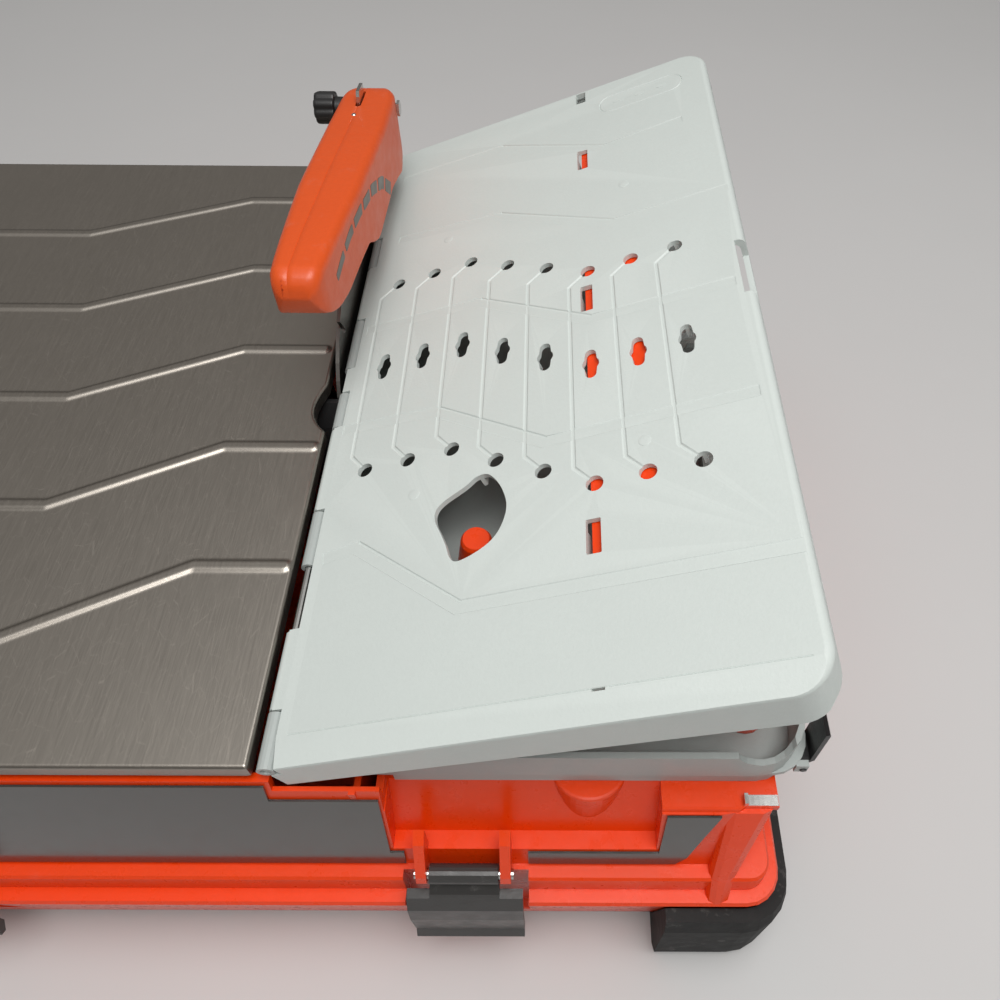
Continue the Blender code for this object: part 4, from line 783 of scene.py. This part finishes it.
# The guard's top edge, foot and half width, each as (y, value) knots.
GUARD_TOP = (
    (0.1957, 0.0900), (0.1972, 0.0953), (0.2005, 0.0990), (0.2060, 0.1010),
    (0.2300, 0.0993), (0.2550, 0.0965), (0.3060, 0.0900), (0.3750, 0.0795),
    (0.4050, 0.0757), (0.4250, 0.0735), (0.4320, 0.0716), (0.4370, 0.0680),
    (0.4395, 0.0640),
)
GUARD_FOOT = (
    (0.1957, 0.0880), (0.1975, 0.0810), (0.2010, 0.0755), (0.2060, 0.0715),
    (0.2120, 0.0673), (0.2200, 0.0637), (0.2360, 0.0592), (0.2700, 0.0560),
    (0.2870, 0.0535), (0.3000, 0.0440), (0.3110, 0.0388), (0.3680, 0.0362),
    (0.3900, 0.0290), (0.4070, 0.0225), (0.4180, 0.0262), (0.4280, 0.0340),
    (0.4360, 0.0460), (0.4395, 0.0600),
)
GUARD_HALF = (
    (0.1957, 0.0070), (0.1972, 0.0098), (0.2000, 0.0118), (0.2050, 0.0131),
    (0.2150, 0.0140), (0.2900, 0.0183), (0.3750, 0.0190), (0.4130, 0.0182),
    (0.4220, 0.0176), (0.4280, 0.0165), (0.4330, 0.0146), (0.4365, 0.0120),
    (0.4385, 0.0092), (0.4395, 0.0064),
)


def guard_ring(y, wall, radius):
    """A section across the guard, round at the top and squarer at the foot, with a seam on top.

    With a wall it is the section of the hollow, which runs out below the foot.
    """
    top = interpolate(GUARD_TOP, y) - wall
    foot = interpolate(GUARD_FOOT, y) - (0.03 if wall else 0.0)
    half = interpolate(GUARD_HALF, y) - wall
    left, right = -half + GUARD_SHIFT, half + GUARD_SHIFT
    radius = min(radius, (top - foot) * 0.45, half * 0.8)
    low_radius = min(0.0016, radius)
    points = [(right, foot + low_radius)]
    points += arc(right - radius, top - radius, radius, 0, 90, 8)
    seam = top if wall else top - 0.0003
    points += [(0.0030, top), (0.0004, top), (0.0, seam), (-0.0004, top), (-0.0030, top)]
    points += arc(left + radius, top - radius, radius, 90, 180, 8)
    points += arc(left + low_radius, foot + low_radius, low_radius, 180, 270, 3)
    points += arc(right - low_radius, foot + low_radius, low_radius, 270, 345, 3)
    return [(x, y, z) for x, z in points]


def make_guard():
    """The guard's hollow shell, with the knife's slot, and the printed arc on its right face."""
    nose = [GUARD_FRONT + NOSE_LENGTH * (1 - math.cos(math.pi / 2 * k / 10)) for k in range(11)]
    run = [NOSE_END + (TAIL_START - NOSE_END) * k / 36 for k in range(1, 37)]
    tail = [TAIL_START + TAIL_LENGTH * math.sin(math.pi / 2 * k / 14) for k in range(1, 15)]

    def outer(bm):
        loft(bm, [guard_ring(y, 0.0, 0.0062) for y in nose + run + tail])

    def inner(bm):
        places = [y for y in nose + run + tail if HOLLOW_FRONT < y < HOLLOW_BACK]
        loft(bm, [guard_ring(y, GUARD_WALL, 0.0042) for y in places])

    def knife_slot(bm):
        outline = rounded(box_outline(KNIFE_ROOM, (0.3995, 0.4240)), 0.0018, 4)
        prism(bm, outline, "Z", 0.0600, 0.12)

    def rear(bm):
        block(bm, KNIFE_ROOM, (0.4150, 0.46), (-0.02, 0.0640))
        bar(bm, "X", PIVOT, PIVOT_HOLE_RADIUS, -0.05, 0.05, 24)

    guard = combine("guard_shell", outer, ("-", inner), ("-", knife_slot), ("-", rear))
    finish_piece(guard, M["guard"], "guard",
                 ["guard_left_shell", "guard_right_shell"], angle=38)

    def arc_mark(bm):
        """A plain dashed arc on the guard's right face."""
        spine = [(0.2206, 0.0806), (0.2359, 0.0827), (0.2539, 0.0838), (0.2798, 0.0813),
                 (0.3102, 0.0737), (0.3385, 0.0603), (0.3609, 0.0400)]
        lengths = [0.0]
        for p, q in zip(spine, spine[1:]):
            lengths.append(lengths[-1] + math.dist(p, q))
        ys, zs = ([(d, p[i]) for d, p in zip(lengths, spine)] for i in (0, 1))
        pitch = lengths[-1] / ARC_DASHES
        for k in range(ARC_DASHES):
            upper, lower = [], []
            for step in range(5):
                d = (k + 0.06 + 0.20 * step) * pitch
                y, z = interpolate(ys, d), interpolate(zs, d)
                dy, dz = interpolate(ys, d + 0.001) - y, interpolate(zs, d + 0.001) - z
                size = math.hypot(dy, dz) or 1.0
                half = 0.0024 + 0.0018 * d / lengths[-1]
                upper.append((y - dz / size * half, z + dy / size * half))
                lower.append((y + dz / size * half, z - dy / size * half))
            inside, outside = [], []
            radii = [0.0008, 0, 0, 0, 0.0008, 0.0008, 0, 0, 0, 0.0008]
            for y, z in rounded(upper + lower[::-1], radii, 2):
                face = interpolate(GUARD_HALF, y) + GUARD_SHIFT
                inside.append((face - 0.0002, y, z))
                outside.append((face + 0.00018, y, z))
            loft(bm, [inside, outside])

    mark = solid("guard_side_mark", arc_mark)
    finish_piece(mark, M["mark"], "guard", (), SAW)


make_guard()


def make_guard_hardware():
    """The lobed clamp knob on the guard's pivot, and the small rivet in its crown."""
    def knob(bm):
        steps, rings = 72, []
        sections = ((0.0088, -0.0345), (0.0099, -0.0342), (0.0105, -0.0334), (0.0108, -0.0320),
                    (0.0108, -0.0222), (0.0104, -0.0211), (0.0094, -0.0206), (0.0073, -0.0205),
                    (0.0071, -0.0154))
        for radius, x in sections:
            ring = []
            for i in range(steps):
                a = TAU * i / steps
                wave = (0.5 - 0.5 * math.cos(KNOB_LOBES * a)) ** 2
                r = radius - (LOBE_DEPTH * wave if radius > LOBED_RADIUS else 0)
                ring.append((x, PIVOT[0] + r * math.cos(a), PIVOT[1] + r * math.sin(a)))
            rings.append(ring)
        loft(bm, rings)

    dish = [(0.0001, -0.0400), (0.0072, -0.0400), (0.0066, -0.0338), (0.0001, -0.0336)]
    piece = combine("guard_clamp_knob", knob,
                    ("-", lambda bm: bar(bm, "X", PIVOT, 0.0037, -0.030, 0.0, 24)),
                    ("-", lambda bm: lathe(bm, "X", PIVOT, dish, 40)))
    finish_piece(piece, M["black"], "guard_knob", ["guard_knob"], bevel=0.0002,
                 angle=35)
    top = interpolate(GUARD_TOP, RIVET_PLACE[1])
    head = [(0.0001, top - 0.0004), (0.0016, top - 0.0004), (0.0015, top + 0.0002),
            (0.0010, top + 0.0006), (0.0001, top + 0.0007)]
    rivet = solid("guard_rivet", lambda bm: lathe(bm, "Z", RIVET_PLACE, head, 20))
    finish_piece(rivet, M["steel"], "guard", (), SAW)


make_guard_hardware()


# ---------------------------------------------------------------- carried-over solids
CARRIED = {
    "tray": ("side_tray",),
    "body": ("dust_tray", "body_shell", "motor_housing", "rip_fence", "selector_knob",
             "wrench_grip"),
    "trim": ("left_front_trim", "right_front_trim"),
    "latch": ("left_latch", "right_latch"),
    "black": ("lid_catch", "switch_frame", "switch_rocker", "upper_brush_holder",
              "lower_brush_holder", "motor_fan", "blade_shroud"),
    "rubber": ("front_left_rubber_foot", "front_right_rubber_foot", "back_left_rubber_foot",
               "back_right_rubber_foot", "cable_gland"),
    "steel": ("corner_bracket", "hinge_rod", "front_fence_peg", "back_fence_peg", "fence_key",
              "riving_knife", "knife_clamp_plate", "guard_screw_1", "guard_screw_2",
              "guard_pivot_bolt", "arbor_shaft", "arbor_nut", "inner_flange", "outer_flange",
              "driven_gear", "armature_shaft", "pinion", "arbor_front_bearing",
              "arbor_rear_bearing", "armature_front_bearing", "armature_rear_bearing",
              "left_latch_pin", "right_latch_pin", "wrench_blade"),
    "cast": ("gearbox_housing", "gearbox_cover", "knife_mount", "dust_gate"),
    "copper": ("armature_core", "commutator", "stator"),
    "blade": ("diamond_blade",),
}
BEVELS = {"tray": 0.0006, "body": 0.0010, "trim": 0.0003, "latch": 0.0008, "black": 0.0005,
          "rubber": 0.0015, "steel": 0.0002, "cast": 0.0006, "copper": 0.0003, "blade": 0.0002}
DRESS_ANGLE = 35              # sharper edges than this are rounded, in degrees


def dress(node, key, bevel):
    """A procedural material and rounded edges for a CAD solid whose shape stays."""
    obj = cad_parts[node]
    for i in range(len(obj.material_slots)):
        obj.material_slots[i].material = M[key]
    modifier = obj.modifiers.new("edges", "BEVEL")
    modifier.width = bevel
    modifier.segments = 2
    modifier.limit_method = "ANGLE"
    modifier.angle_limit = math.radians(DRESS_ANGLE)
    modifier.use_clamp_overlap = True
    obj.modifiers.new("normals", "WEIGHTED_NORMAL").keep_sharp = True


for key, nodes in CARRIED.items():
    for node in nodes:
        dress(node, key, BEVELS[key])
